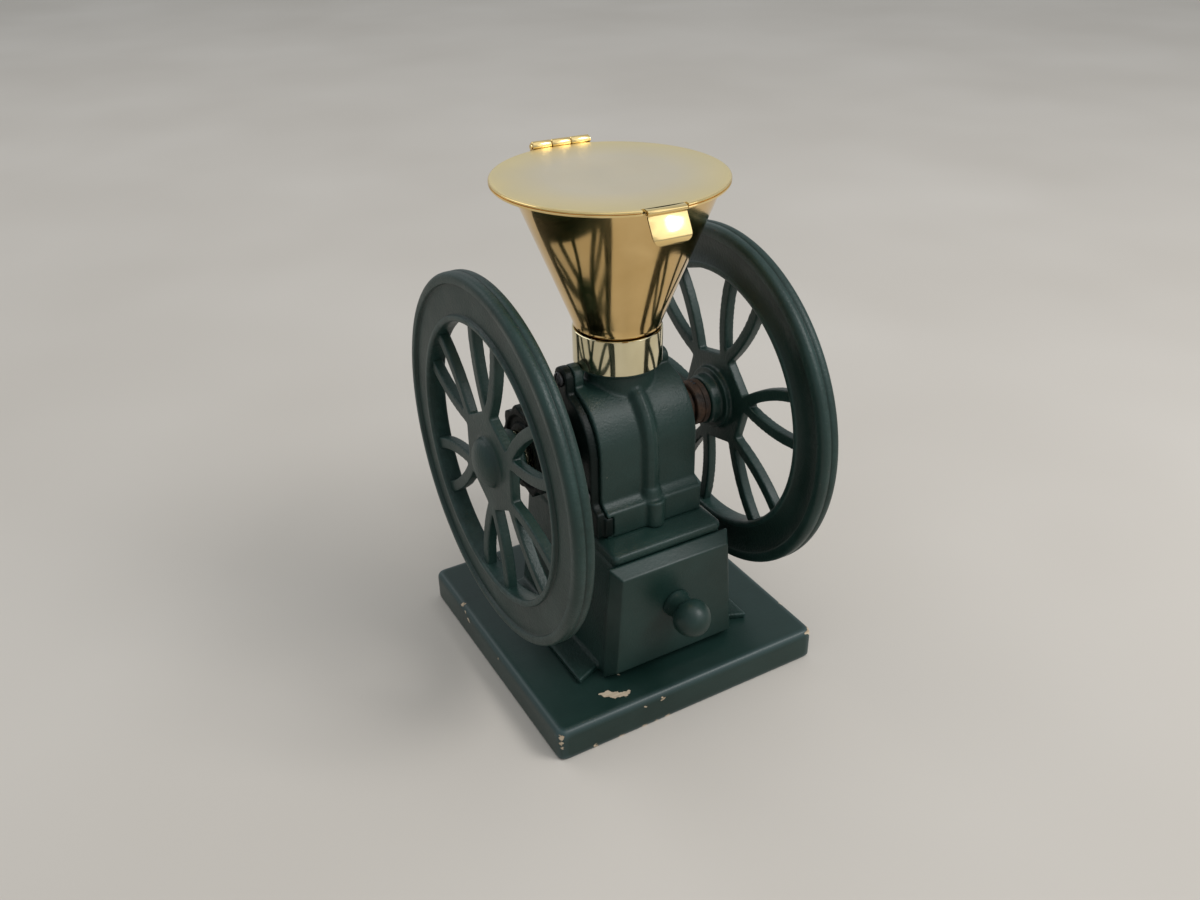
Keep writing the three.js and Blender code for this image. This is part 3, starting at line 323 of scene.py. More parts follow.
# %% Painted wood
BOARD_CHIPS = [  # x, y, z and radius in millimetres
    (-46.6, -64.8, 18.6, 1.9), (-44.4, -66.2, 18.6, 2.5), (-42.0, -68.2, 18.6, 2.7),
    (-39.4, -69.6, 18.6, 2.4), (-36.6, -70.4, 18.6, 2.2), (-34.6, -70.6, 18.6, 1.5),
    (-32.5, -56.8, 18.6, 0.9), (-19.9, -80.0, 14.3, 1.3), (-29.2, -80.0, 14.9, 0.8),
    (-16.0, -80.0, 0.2, 2.2), (-22.5, -80.0, 0.0, 1.7), (-30.0, -80.0, 0.0, 1.5),
    (-43.8, -80.0, 0.2, 1.8), (-58.8, -80.0, 0.8, 1.8), (-78.6, -79.0, 15.6, 1.9),
    (-78.8, -79.0, 12.4, 1.6), (-78.6, -78.8, 9.0, 1.1), (78.6, -78.2, 16.6, 2.6),
    (76.6, -78.8, 17.4, 1.6), (79.4, -74.8, 17.0, 1.7), (79.4, -52.0, 17.8, 1.5),
    (79.6, -57.0, 17.4, 0.9), (-78.8, 42.0, 17.9, 1.5), (-79.8, 31.6, 13.5, 1.3),
    (-79.4, 36.5, 16.6, 0.9), (-79.9, -8.3, 14.5, 0.9), (20.0, 80.0, 17.5, 1.6),
    (-50.0, 80.0, 0.6, 2.4), (80.0, 12.0, 0.6, 2.0),
]
board_paint, tree, shader, place = start_finish("painted_wood", Specular_IOR_Level=0.36)
grain = noise(tree, place, 320, 4, stretch=(0.07, 1, 1))
blotches = noise(tree, place, 30, 4)
coat = ramp(tree, blotches, [(0.3, (0.0065, 0.0220, 0.0175)), (0.7, (0.0118, 0.0325, 0.0272))])
chipped = chip_mask(tree, place, BOARD_CHIPS)
bare_wood = ramp(tree, grain, [(0.3, (0.40, 0.30, 0.20)), (0.7, (0.66, 0.56, 0.42))])
# Paler blue-green rounded edges: partly wear, partly a painted highlight.
wear_and_highlight = between(tree, add(tree, "NewGeometry").outputs["Pointiness"], 0.507, 0.53, 0, 0.65)
skin = blend(tree, wear_and_highlight, coat, (0.046, 0.080, 0.084))
tree.links.new(blend(tree, chipped, skin, bare_wood), shader.inputs["Base Color"])
tree.links.new(between(tree, chipped, 0, 1, 0.36, 0.8), shader.inputs["Roughness"])
bumps(tree, shader, [
    (reckon(tree, "SUBTRACT", 1.0, chipped), 0.0004, 0.8),
    (grain, 0.0002, 0.22),
    (noise(tree, place, 900, 3), 0.0002, 0.22),
])
print("finish:", board_paint.name, "with", len(BOARD_CHIPS), "chips")

# %% [markdown]
# Polished brass is a mirror with a colour. What makes it look real is what disturbs the
# mirror: faint smears in its roughness, a breath of tarnish, and very fine turning lines.
# One helper makes three kinds, which differ only in numbers: bright for the hopper, pale for
# the collar, and gold for the lid's rim, its tab and the hinge.

# %% Brass


def brass(name, light, dark, low, high):
    """Brass from two tones and a range of roughness."""
    finish, tree, shader, place = start_finish(name, Metallic=1.0)
    smear = noise(tree, place, 28, 4, distortion=0.6)
    tree.links.new(ramp(tree, smear, [(0.3, dark), (0.7, light)]), shader.inputs["Base Color"])
    breath = noise(tree, place, 70, 5, stretch=(1, 1, 0.5))
    tree.links.new(between(tree, breath, 0.3, 0.7, low, high), shader.inputs["Roughness"])
    marks = noise(tree, place, 1500, 2, stretch=(0.12, 0.12, 1))
    bumps(tree, shader, [(noise(tree, place, 40, 2), 0.00012, 0.35), (marks, 0.00002, 0.3)])
    return finish


bright_brass = brass("bright_brass", (0.80, 0.565, 0.255), (0.64, 0.43, 0.17), 0.07, 0.15)
pale_brass = brass("pale_brass", (0.77, 0.70, 0.48), (0.62, 0.55, 0.35), 0.06, 0.13)
gold_brass = brass("gold_brass", (0.93, 0.72, 0.34), (0.82, 0.58, 0.24), 0.10, 0.20)
print("brass:", bright_brass.name, pale_brass.name, gold_brass.name)

# %% [markdown]
# The lid is spun from sheet and rubbed to a satin with a circular motion. Its marks are rings
# about its own middle, so the pattern is a noise that reads only the distance from that
# middle. Towards the rim its colour turns yellower. The middle is found from the hinge: its pin's
# place and direction come from the joint, and one matrix holds both.

# %% Satin lid
LID_R, LID_TOP, LID_BACK = 56.32, -0.6, -57.32  # radius, and the top's middle from the pin
YELLOW_FROM = 30
lid_joint = next(joint for joint in frame["joints"] if joint["name"] == "lid_hinge")
skew = math.atan2(-lid_joint["axis"][1], -lid_joint["axis"][0])
pin_place = Vector(lid_joint["pos_m"])
hinge_place = Matrix.Translation(pin_place) @ Matrix.Rotation(skew, 4, "Z")
satin_brass, tree, shader, place = start_finish("satin_lid_brass", Metallic=1.0)
moved = add(tree, "VectorMath", operation="SUBTRACT")
tree.links.new(place, moved.inputs[0])
moved.inputs[1].default_value = hinge_place @ metres(0, LID_BACK, LID_TOP)
flat = add(tree, "VectorMath", operation="MULTIPLY")
tree.links.new(moved.outputs["Vector"], flat.inputs[0])
flat.inputs[1].default_value = (1, 1, 0)
reach = add(tree, "VectorMath", operation="LENGTH")
tree.links.new(flat.outputs["Vector"], reach.inputs[0])
radius = reach.outputs["Value"]
yellow = between(tree, radius, YELLOW_FROM * MM, LID_R * MM, 0, 1)
clouds = blend(tree, noise(tree, place, 22, 4), (0.82, 0.70, 0.50), (0.92, 0.81, 0.61))
tree.links.new(blend(tree, yellow, clouds, (0.94, 0.77, 0.40)), shader.inputs["Base Color"])
rubbing = between(tree, noise(tree, place, 35, 4), 0.3, 0.7, 0.32, 0.42)
tree.links.new(rubbing, shader.inputs["Roughness"])
rings = add(tree, "TexNoise", noise_dimensions="1D", W=radius, Scale=1500, Detail=2).outputs["Fac"]
bumps(tree, shader, [(noise(tree, place, 26, 2), 0.0003, 0.25), (rings, 0.00001, 0.12)])
print("finish:", satin_brass.name, "hinge turned by", round(math.degrees(skew), 2), "degrees")

# %% [markdown]
# The rest of the metal is plain: turned steel, blackened screws, brown bronze, rusty iron,
# grey burrs and tinned sheet. Their recipe is the same, two tones and a grain.

# %% Plain metals


def plain_metal(name, light, dark, low, high, grain=900, depth=0.0001, metallic=1.0):
    """Metal from two tones, a range of roughness and one grain."""
    finish, tree, shader, place = start_finish(name, Metallic=metallic)
    patches = noise(tree, place, 120, 5, distortion=0.4)
    tree.links.new(ramp(tree, patches, [(0.35, dark), (0.65, light)]), shader.inputs["Base Color"])
    dull = between(tree, noise(tree, place, 200, 4), 0.3, 0.7, low, high)
    tree.links.new(dull, shader.inputs["Roughness"])
    bumps(tree, shader, [(noise(tree, place, grain, 4), depth, 0.5)])
    return finish


FINISHES = {  # by the material slot of a CAD node
    "steel": plain_metal("turned_steel", (0.56, 0.56, 0.55), (0.40, 0.40, 0.39), 0.22, 0.42),
    "dark_steel": plain_metal("blackened_steel", (0.10, 0.10, 0.105), (0.05, 0.05, 0.052),
                              0.38, 0.6),
    "bronze": plain_metal("bearing_bronze", (0.42, 0.24, 0.12), (0.22, 0.11, 0.05), 0.35, 0.6),
    "rusty_iron": plain_metal("rusty_iron", (0.075, 0.040, 0.022), (0.020, 0.014, 0.010),
                              0.5, 0.85, grain=1400, depth=0.0004, metallic=0.35),
    "burr_iron": plain_metal("burr_iron", (0.13, 0.13, 0.135), (0.06, 0.06, 0.062), 0.45, 0.7,
                             depth=0.0002),
    "tinplate": plain_metal("tinned_sheet", (0.62, 0.63, 0.65), (0.45, 0.46, 0.48), 0.25, 0.45,
                            grain=300),
    "polished_brass": pale_brass,
    "satin_brass": satin_brass,
    "green_paint": green_enamel,
    "board_paint": board_paint,
}
print("finishes by slot:", sorted(FINISHES))

# %% [markdown]
# Next come the modelling helpers. Almost every piece of a mill is either turned or cut from
# plate. A turned piece starts as one vertex that is extruded along its profile and then spun.
# A plate starts the same way, is filled, and is extruded to its thickness.

# %% Modelling helpers


def pen_line(name, points):
    """Draws a chain of edges through points (in millimetres) and stays in edit mode."""
    bpy.ops.object.select_all(action="DESELECT")
    bpy.ops.mesh.primitive_plane_add(size=MM, location=(0, 0, 0))
    piece = bpy.context.object
    piece.name = piece.data.name = name
    bpy.ops.object.mode_set(mode="EDIT")
    bpy.ops.mesh.select_all(action="SELECT")
    bpy.ops.mesh.merge(type="CENTER")
    bpy.ops.transform.translate(value=metres(*points[0]))
    for before, after in zip(points, points[1:]):
        step = metres(*after) - metres(*before)
        bpy.ops.mesh.extrude_region_move(TRANSFORM_OT_translate={"value": step})
    return piece


def close_up():
    """Merges what lies together, turns the faces outwards and leaves edit mode."""
    bpy.ops.mesh.select_all(action="SELECT")
    bpy.ops.mesh.remove_doubles(threshold=1e-6)
    bpy.ops.mesh.normals_make_consistent(inside=False)
    bpy.ops.object.mode_set(mode="OBJECT")


def turned(name, profile, axis, centre=(0, 0, 0), steps=96):
    """A lathe piece: profile is (radius, place along the axis), from the centre point."""
    if axis == "X":
        points = [(centre[0] + along, centre[1], centre[2] + radius) for radius, along in profile]
        direction = (1, 0, 0)
    elif axis == "Y":
        points = [(centre[0], centre[1] + along, centre[2] + radius) for radius, along in profile]
        direction = (0, 1, 0)
    else:
        points = [(centre[0] + radius, centre[1], centre[2] + along) for radius, along in profile]
        direction = (0, 0, 1)
    piece = pen_line(name, points)
    bpy.ops.mesh.select_all(action="SELECT")
    bpy.ops.mesh.spin(steps=steps, angle=math.tau, center=metres(*centre), axis=direction)
    close_up()
    return piece


def plate(name, outline, depth):
    """A flat piece: the outline is filled and pushed along depth."""
    piece = pen_line(name, outline)
    bpy.ops.mesh.select_all(action="SELECT")
    bpy.ops.mesh.edge_face_add()
    bpy.ops.mesh.extrude_region_move(TRANSFORM_OT_translate={"value": metres(*depth)})
    close_up()
    return piece


def only(piece):
    """Selects one piece and makes it active."""
    bpy.ops.object.select_all(action="DESELECT")
    piece.select_set(True)
    bpy.context.view_layer.objects.active = piece


def pick(piece, kind, wanted):
    """Leaves a piece in edit mode with only the wanted vertices, edges or faces selected."""
    only(piece)
    bpy.ops.object.mode_set(mode="EDIT")
    bpy.ops.mesh.select_mode(type=kind)
    bpy.ops.mesh.select_all(action="DESELECT")
    bpy.ops.object.mode_set(mode="OBJECT")
    mesh = piece.data
    for item in {"VERT": mesh.vertices, "EDGE": mesh.edges, "FACE": mesh.polygons}[kind]:
        item.select = wanted(item)
    bpy.ops.object.mode_set(mode="EDIT")


def leave_edit():
    """Back to object mode, with vertices as what is picked next."""
    bpy.ops.mesh.select_mode(type="VERT")
    bpy.ops.object.mode_set(mode="OBJECT")


def modify(piece, kind, **settings):
    """Adds one modifier and applies it."""
    only(piece)
    bpy.ops.object.modifier_add(type=kind)
    modifier = piece.modifiers[-1]
    for key, value in settings.items():
        setattr(modifier, key, value)
    bpy.ops.object.modifier_apply(modifier=modifier.name)
    return piece


def round_edges(piece, width, segments=3, angle=35):
    """Rounds each edge that is sharper than the angle."""
    return modify(piece, "BEVEL", width=width * MM, segments=segments, limit_method="ANGLE",
                  angle_limit=math.radians(angle))


def cast_skin(piece, voxel, passes):
    """Gives a piece the soft corners of a sand casting: one even mesh, smoothed a little."""
    modify(piece, "REMESH", mode="VOXEL", voxel_size=voxel * MM)
    return modify(piece, "SMOOTH", factor=0.5, iterations=passes)


def one_piece(name, pieces):
    """Joins several pieces into the first."""
    only(pieces[0])
    for piece in pieces:
        piece.select_set(True)
    bpy.ops.object.join()
    pieces[0].name = pieces[0].data.name = name
    return pieces[0]


def twin(piece, name, move=Matrix.Identity(4)):
    """A copy with its own mesh, moved by a matrix."""
    copy = piece.copy()
    copy.data = piece.data.copy()
    copy.name = copy.data.name = name
    bpy.context.scene.collection.objects.link(copy)
    copy.data.transform(move)
    if move.determinant() < 0:
        copy.data.flip_normals()
    return copy


def fit(piece, body, nodes, finish, smooth=35):
    """Puts a finished piece on its body: place applied, shaded, dressed, and the CAD nodes it stands for hidden.
    """
    only(piece)
    bpy.ops.object.transform_apply(location=True, rotation=True, scale=True)
    bpy.ops.object.shade_smooth_by_angle(angle=math.radians(smooth))
    piece.data.materials.clear()
    piece.data.materials.append(finish)
    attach(piece, body)
    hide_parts(*nodes)
    print(f"{piece.name}: {len(piece.data.polygons)} faces, stands for {', '.join(nodes)}")
    return piece


def arc(centre, radius, start, end, steps):
    """Points on an arc, as pairs."""
    angles = [math.radians(start + (end - start) * i / steps) for i in range(steps + 1)]
    return [(centre[0] + radius * math.cos(a), centre[1] + radius * math.sin(a)) for a in angles]


print("modelling helpers ready")

# %% [markdown]
# The flywheel is the mill's face: a heavy rim, six petals of two bowed arms, a six-cornered
# plate and a domed hub. It is drawn once, about the X axis with its inner side at x = 0. The
# rim is turned and stays crisp: a raised ring on each side of a sunk band, and a fine parting
# line round its edge. The hub is turned and the arms are plates along a curve.

# %% Flywheel: rim and hub
RIM_OUT, RIM_IN, RIM_THICK = 95.0, 71.0, 10.5
HUB_REACH = 7.1  # how far the hub stands inwards from the rim
rim_profile = [
    (RIM_IN, 1.4), (RIM_IN + 0.35, 0.45), (RIM_IN + 1.2, 0), (RIM_IN + 2.8, 0),
    (RIM_IN + 3.3, 0.3), (RIM_IN + 3.7, 0.9), (88.6, 0.9), (89.1, 0.35), (89.8, 0),
    *arc((RIM_OUT - 2.8, 2.8), 2.8, -90, 0, 6),
    (RIM_OUT, 4.6), (RIM_OUT - 0.45, 4.9), (RIM_OUT - 0.45, 5.4), (RIM_OUT, 5.7),
    *arc((RIM_OUT - 2.8, RIM_THICK - 2.8), 2.8, 0, 90, 6),
    (90.0, RIM_THICK), (89.65, RIM_THICK - 0.25), (89.45, RIM_THICK - 1.4),
    (89.1, RIM_THICK - 1.75), (88.2, RIM_THICK - 1.8), (75.2, RIM_THICK - 1.8),
    (74.6, RIM_THICK - 1.75), (74.3, RIM_THICK - 1.4), (74.15, RIM_THICK - 0.3),
    (73.8, RIM_THICK), (RIM_IN + 1.3, RIM_THICK), (RIM_IN + 0.4, RIM_THICK - 0.4),
    (RIM_IN, RIM_THICK - 1.4), (RIM_IN, 1.4),
]
rim = turned("flywheel_rim", rim_profile, "X", steps=180)
hub_profile = [
    (0, -HUB_REACH), (12.6, -HUB_REACH), (13.5, -6.2), (13.5, -0.8), (17.0, -0.8), (17.0, 3.2),
    (13.8, 3.2), (13.4, 7.8), *[(13.0 * c, 8.4 + 6.5 * s) for c, s in arc((0, 0), 1, 0, 90, 10)],
]
hub_profile[-1] = (0, hub_profile[-1][1])
hub = turned("flywheel_hub", hub_profile, "X", steps=72)
print("rim faces", len(rim.data.polygons), "hub faces", len(hub.data.polygons))

# %% [markdown]
# Each arm follows a curve that leaves the hub close to its twin and bows outwards before it
# meets the rim. Its two edges are that curve, moved half the arm's width to either side. A
# voxel skin melts arms, plate and hub into one casting with soft corners, as sand and paint do.

# %% Flywheel: arms and star plate
WEB_FROM, WEB_THICK = 2.6, 5.3
ARM_HALF, STAR_R = 3.0, 29


def arm_outline(side, steps=12):
    """Outline of one bowed arm in the wheel's plane, as (x, y, z)."""
    start, bend, end = Vector((0.6, 26.0)), Vector((13.0, 49.8)), Vector((12.4, 73.5))
    outer_edge, inner_edge = [], []
    for i in range(steps + 1):
        t = i / steps
        point = (1 - t) ** 2 * start + 2 * t * (1 - t) * bend + t * t * end
        along = (2 * (1 - t) * (bend - start) + 2 * t * (end - bend)).normalized()
        across = Vector((along.y, -along.x)) * ARM_HALF
        outer_edge.append(point + across)
        inner_edge.append(point - across)
    return [(WEB_FROM, side * point.x, point.y) for point in outer_edge + inner_edge[::-1]]


parts = [hub]
for side in (-1, 1):
    arm = plate(f"flywheel_arm_{side}", arm_outline(side), (WEB_THICK, 0, 0))
    for i in range(1, 6):
        sixth = Matrix.Rotation(math.radians(60 * i), 4, "X")
        parts.append(twin(arm, f"flywheel_arm_{side}_{i}", sixth))
    parts.append(arm)
sixths = [math.radians(60 * i) for i in range(6)]
corners = [(WEB_FROM, STAR_R * math.sin(angle), STAR_R * math.cos(angle)) for angle in sixths]
parts.append(plate("flywheel_star", corners, (WEB_THICK, 0, 0)))
web = cast_skin(one_piece("flywheel_web", parts), 0.7, 4)
flywheel = one_piece("left_flywheel_casting", [web, rim])
print("flywheel faces", len(flywheel.data.polygons))

# %% [markdown]
# The same casting serves on both sides. The left one is turned round so that its dome faces
# left, and each stands on the shaft at its own angle, as in the photograph.

# %% Flywheels: on the shaft
right_turn = Matrix.Rotation(math.radians(17), 4, "X")
left_turn = Matrix.Rotation(math.radians(1.5), 4, "X")
half_turn = Matrix.Rotation(math.pi, 4, "Z")
right_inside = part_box("right_flywheel")[0].x
left_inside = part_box("left_flywheel")[1].x
right_wheel = twin(flywheel, "right_flywheel_casting",
                   on_shaft(right_inside + HUB_REACH * MM) @ right_turn)
flywheel.data.transform(on_shaft(left_inside - HUB_REACH * MM) @ left_turn @ half_turn)
fit(flywheel, "shaft", ["left_flywheel"], green_enamel, 60)
fit(right_wheel, "shaft", ["right_flywheel"], green_enamel, 60)

# %% [markdown]
# The board is a plain square of wood. A cube gets round corners and a round top edge with the
# bevel tool, and then an even skin, because the wear and painted highlight on its edges read
# the mesh's curvature.

# %% Base board
BOARD_SIDE, BOARD_TOP = 160, 18.6
bpy.ops.object.select_all(action="DESELECT")
bpy.ops.mesh.primitive_cube_add(size=1, location=metres(0, 0, BOARD_TOP / 2),
                                scale=metres(BOARD_SIDE, BOARD_SIDE, BOARD_TOP))
board = bpy.context.object
board.name = board.data.name = "painted_board"
bpy.ops.object.transform_apply(location=True, rotation=True, scale=True)


def bevel_where(piece, test, width, segments):
    """Bevels the edges whose two ends pass a test."""
    points = piece.data.vertices
    pick(piece, "EDGE", lambda edge: test(*(points[i].co for i in edge.vertices)))
    bpy.ops.mesh.bevel(offset=width * MM, segments=segments, affect="EDGES")
    leave_edit()


top, foot = BOARD_TOP * MM - 1e-5, 1e-5
bevel_where(board, lambda a, b: abs(a.z - b.z) > 0.01, 4.5, 5)
bevel_where(board, lambda a, b: a.z > top and b.z > top, 3.4, 6)
bevel_where(board, lambda a, b: a.z < foot and b.z < foot, 0.8, 2)
cast_skin(board, 1.2, 2)
fit(board, "root", ["base_board"], board_paint, 60)

# %% [markdown]
# The pedestal, the burr housing, its side cover and the lobed nut are castings whose CAD
# shape is right, apart from corners that are too sharp. A copy of each is merged, because a
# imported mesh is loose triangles, and gets the same voxel skin as the wheels.

# %% Castings


def cast_copy(name, node, voxel, passes):
    """A merged copy of a CAD node with a voxel skin."""
    copy = bpy.data.objects.new(name, frame["nodes"][node].data.copy())
    copy.data.name = name
    bpy.context.scene.collection.objects.link(copy)
    only(copy)
    bpy.ops.object.mode_set(mode="EDIT")
    bpy.ops.mesh.select_all(action="SELECT")
    bpy.ops.mesh.remove_doubles(threshold=1e-6)
    bpy.ops.object.mode_set(mode="OBJECT")
    return cast_skin(copy, voxel, passes)


CASTINGS = [  # new name, node, body, voxel, passes, finish
    ("pedestal_casting", "drawer_housing", "root", 0.9, 3, green_enamel),
    ("burr_housing_casting", "grinding_housing", "root", 0.75, 5, green_enamel),
    # The side cover and the nut take the dark enamel, which is painted shade.
    ("left_cover_casting", "left_side_cover", "root", 0.8, 3, painted_shade_enamel),
    ("lobed_nut_casting", "adjusting_nut", "nut", 0.6, 3, painted_shade_enamel),
]
for name, node, body, voxel, passes, finish in CASTINGS:
    fit(cast_copy(name, node, voxel, passes), body, [node], finish, 60)

# %% [markdown]
# The drawer front is one bevelled panel, wider at its foot. Its back outline is filled and
# given a narrow land; then the front face is inset and pushed out, which makes all four
# bevels at once, and the lower one is widened by lifting its edge.

# %% Drawer front
FRONT_BACK_Y, FRONT_Y = -53.6, -61.5
LAND, BEVEL_WIDE, BEVEL_DEEP, FOOT_LIFT = 1.0, 4.3, 6.9, 1.1
corners = [(-40.2, 19.2), (40.2, 19.2), (35.7, 87.2), (-35.7, 87.2)]
outline = [(x, FRONT_BACK_Y, z) for x, z in corners]
panel = plate("drawer_panel", outline, (0, -LAND, 0))
pick(panel, "FACE", lambda face: face.normal.y < -0.9)
bpy.ops.mesh.inset(thickness=BEVEL_WIDE * MM, depth=BEVEL_DEEP * MM)
leave_edit()
pick(panel, "VERT", lambda point: point.co.y < (FRONT_Y + 0.1) * MM and point.co.z < 50 * MM)
bpy.ops.transform.translate(value=metres(0, 0, FOOT_LIFT))
leave_edit()
print("panel front at", round(min(point.co.y for point in panel.data.vertices) / MM, 2), "mm")
cast_skin(panel, 0.6, 3)
fit(panel, "drawer", ["drawer_front"], smooth_enamel, 60)

# %% [markdown]
# The knob is a flat mushroom on a stout neck, turned in one go. So is the grip on the wheel. It
# has a waist near the rim, a full belly for the hand, and a recess for its bolt's head.

# %% Drawer knob and crank grip
knob_profile = [
    (0, 0), (7.4, 0), (7.8, -0.3), (7.7, -1.2), (7.3, -2.3), (6.95, -3.7), (6.75, -5.4),
    (6.7, -7.2), (6.85, -8.6), (7.4, -9.7), (8.6, -10.4), (9.5, -11.3), (9.95, -12.7),
    (10.0, -14.3), (9.85, -16.2), (9.5, -17.4), (8.8, -18.9), (7.6, -20.9), (5.8, -22.7),
    (3.4, -23.9), (1.4, -24.4), (0, -24.5),
]
KNOB_Z = 57.4
knob = turned("mushroom_knob", knob_profile, "Y", (0, FRONT_Y - 0.1, KNOB_Z), 64)
fit(knob, "drawer", ["drawer_knob"], smooth_enamel, 60)

grip_low, grip_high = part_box("crank_grip")
grip_middle = (grip_low + grip_high) / 2 / MM
grip_length = (grip_high.x - grip_low.x) / MM
grip_profile = [
    (3.3, 0), (5.4, 0), (6.4, 0.5), (7.0, 1.4), (6.7, 2.8), (6.0, 4.4), (6.2, 7.5), (7.0, 13.0),
    (8.2, 20.0), (8.9, 26.5), (9.0, 31.0), (8.7, 35.5), (7.8, 39.8), (6.9, 42.6), (6.3, 43.8),
    (5.8, 44.0), (5.5, 43.7), (5.5, 39.5), (3.3, 39.5), (3.3, 0),
]
grip = turned("turned_grip", grip_profile, "X", (grip_low.x / MM, grip_middle.y, grip_middle.z), 64)
fit(grip, "grip", ["crank_grip"], green_enamel, 60)
print("grip length", round(grip_length, 1), "mm")

# %% [markdown]
# The hopper is a cone of thin polished brass on a short neck. A small rolled bead stands just
# over the collar, and another runs round the mouth, under the lid. The collar is a plain tube
# with a rounded lip. Many steps keep the mirror free of facets.

# %% Hopper and collar
hopper_low, hopper_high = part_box("hopper_cone")
MOUTH_Z = hopper_high.z / MM
CONE_FOOT_Z, SLOPE, NECK = MOUTH_Z - 85.4, 0.396, 16.6


def cone_at(z):
    return NECK + (z - CONE_FOOT_Z) * SLOPE


mouth = cone_at(MOUTH_Z)
hopper_profile = [
    (15.6, hopper_low.z / MM), (16.6, hopper_low.z / MM), (16.6, CONE_FOOT_Z),
    (cone_at(191.5), 191.5), (20.55, 192.8), (20.7, 194.2), (21.2, 194.5), (21.85, 194.6),
    (22.15, 194.85), (22.2, 195.15), (22.1, 195.5), (cone_at(195.9) + 0.05, 195.9),
    (cone_at(200), 200), (cone_at(MOUTH_Z - 2.2), MOUTH_Z - 2.2), (mouth + 0.5, MOUTH_Z - 1.6),
    (mouth + 0.9, MOUTH_Z - 1.1), (mouth + 0.9, MOUTH_Z - 0.6), (mouth + 0.5, MOUTH_Z - 0.1),
    (mouth, MOUTH_Z), (mouth - 0.8, MOUTH_Z - 0.1), (mouth - 1.08, MOUTH_Z - 0.6),
    (15.52, CONE_FOOT_Z), (15.6, hopper_low.z / MM),
]
hopper = turned("brass_hopper", hopper_profile, "Z", (0, SHAFT_Y, 0), 180)
fit(hopper, "hopper", ["hopper_cone"], bright_brass, 30)

collar_low, collar_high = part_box("hopper_collar")
foot_z, lip_z = collar_low.z / MM, collar_high.z / MM
collar_profile = [
    (21.4, foot_z), (22.5, foot_z), (22.7, foot_z + 0.2), (22.7, lip_z - 0.75),
    (22.6, lip_z - 0.3), (22.3, lip_z - 0.05), (22.0, lip_z), (21.7, lip_z - 0.05),
    (21.45, lip_z - 0.3), (21.4, lip_z - 0.7), (21.4, foot_z),
]
collar = turned("brass_collar", collar_profile, "Z", (0, SHAFT_Y, 0), 180)
fit(collar, "root", ["hopper_collar"], pale_brass, 30)

# %% [markdown]
# The lid and the hinge need cuts that no extrusion gives. One helper cuts a box out of a piece.
# The other cuts one piece out of another, or keeps only what the two share. The piece that does
# the cutting is removed afterwards, so that only the real ones stay.

# %% Cutting helpers


def cut_box(piece, low, high):
    """Cuts a box, given by two corners in millimetres, out of a piece."""
    bpy.ops.object.select_all(action="DESELECT")
    middle = (metres(*low) + metres(*high)) / 2
    bpy.ops.mesh.primitive_cube_add(size=1, location=middle, scale=metres(*high) - metres(*low))
    tool = bpy.context.object
    modify(piece, "BOOLEAN", operation="DIFFERENCE", solver="EXACT", object=tool)
    bpy.data.objects.remove(tool)


def combine(piece, other, operation):
    """Cuts the other out of a piece, or keeps what the two share, and removes the other."""
    modify(piece, "BOOLEAN", operation=operation, solver="EXACT", object=other)
    bpy.data.objects.remove(other)
    return piece


print("cutting helpers ready")

# %% [markdown]
# The lid, its tab and its hinge leaf are drawn in the hinge's own place: the pin along X at the
# origin, the lid towards -Y. The matrix hinge_place then brings them to the real hinge. The lid
# is turned with a grooved rim, cut away behind for the knuckles, and nicked on each side of the
# tab. The cut under the knuckles stops just below the sheet, so that no two faces coincide.

# %% Lid
TAB_HALF, NICK_HALF, HINGE_HALF, ROOM = 9.45, 0.8, 15.6, 0.6
lid_rim = [  # how far inside the edge, and how high from the top
    (4.6, 0), (3.8, 0), (2.2, 0), (1.7, 0), (1.45, -0.12), (1.2, -0.02), (0.6, -0.1), (0.15, -0.4),
    (0, -0.75), (0.15, -1.0), (0.75, -1.15), (0.75, -1.35), (0.15, -1.5), (0, -1.85),
    (0.2, -2.45), (0.6, -2.6), (1.05, -2.45), (1.2, -1.9), (1.2, -1.2),
]
lid_profile = [(0, 0), (20, 0), (40, 0), *[(LID_R - inset, z) for inset, z in lid_rim], (0, -1.2)]
lid = turned("satin_lid", lid_profile, "Z", (0, LID_BACK, LID_TOP), 180)
cut_half = HINGE_HALF + ROOM
cut_box(lid, (-cut_half, -2.7, -20), (cut_half, 10, 10))
cut_box(lid, (-cut_half, -6.1, -20), (cut_half, 10, LID_TOP - 1.25))
LID_FRONT = LID_BACK - LID_R
for x in (-TAB_HALF - NICK_HALF, TAB_HALF + NICK_HALF):
    cut_box(lid, (x - NICK_HALF, LID_FRONT - 3, -20), (x + NICK_HALF, LID_FRONT + 3.4, 10))
print("lid faces", len(lid.data.polygons))

# %% [markdown]
# The thumb tab is a strip that rolls over the rim, is creased under it, slopes straight out and
# curls under at a round tip. Its side view is a plate as wide as the tab. What it shares with a
# plate of the front view's outline is the finished strip, and its edges are rounded. The lid's
# top is satin, but its rolled rim and the tab are as bright as a mirror, so their faces get a
# second finish.

# %% Thumb tab
TIP_DROP, TIP_ROUND = 14.7, 4.6
tab_line = [  # from the lid's front edge and from its top, as (y, z)
    (3.0, 0.0), (0.7, 0.0), (-0.1, -0.12), (-0.7, -0.5), (-0.95, -1.1), (-0.85, -1.7),
    (-0.4, -2.3), (-0.3, -2.7), (-0.6, -3.3), (-1.5, -4.7), (-2.9, -6.8), (-4.2, -8.8),
    (-4.9, -10.0), (-5.45, -11.2), (-5.7, -12.3), (-5.6, -13.4), (-5.2, -14.5), (-4.8, -15.4),
]
inner_line = [(y + 0.75, z - 0.55) for y, z in tab_line]
side_view = [(-TAB_HALF, LID_FRONT + y, LID_TOP + z) for y, z in tab_line + inner_line[::-1]]
tab = plate("thumb_tab", side_view, (2 * TAB_HALF, 0, 0))
bend_x, bend_z = TAB_HALF - TIP_ROUND, LID_TOP - TIP_DROP + TIP_ROUND
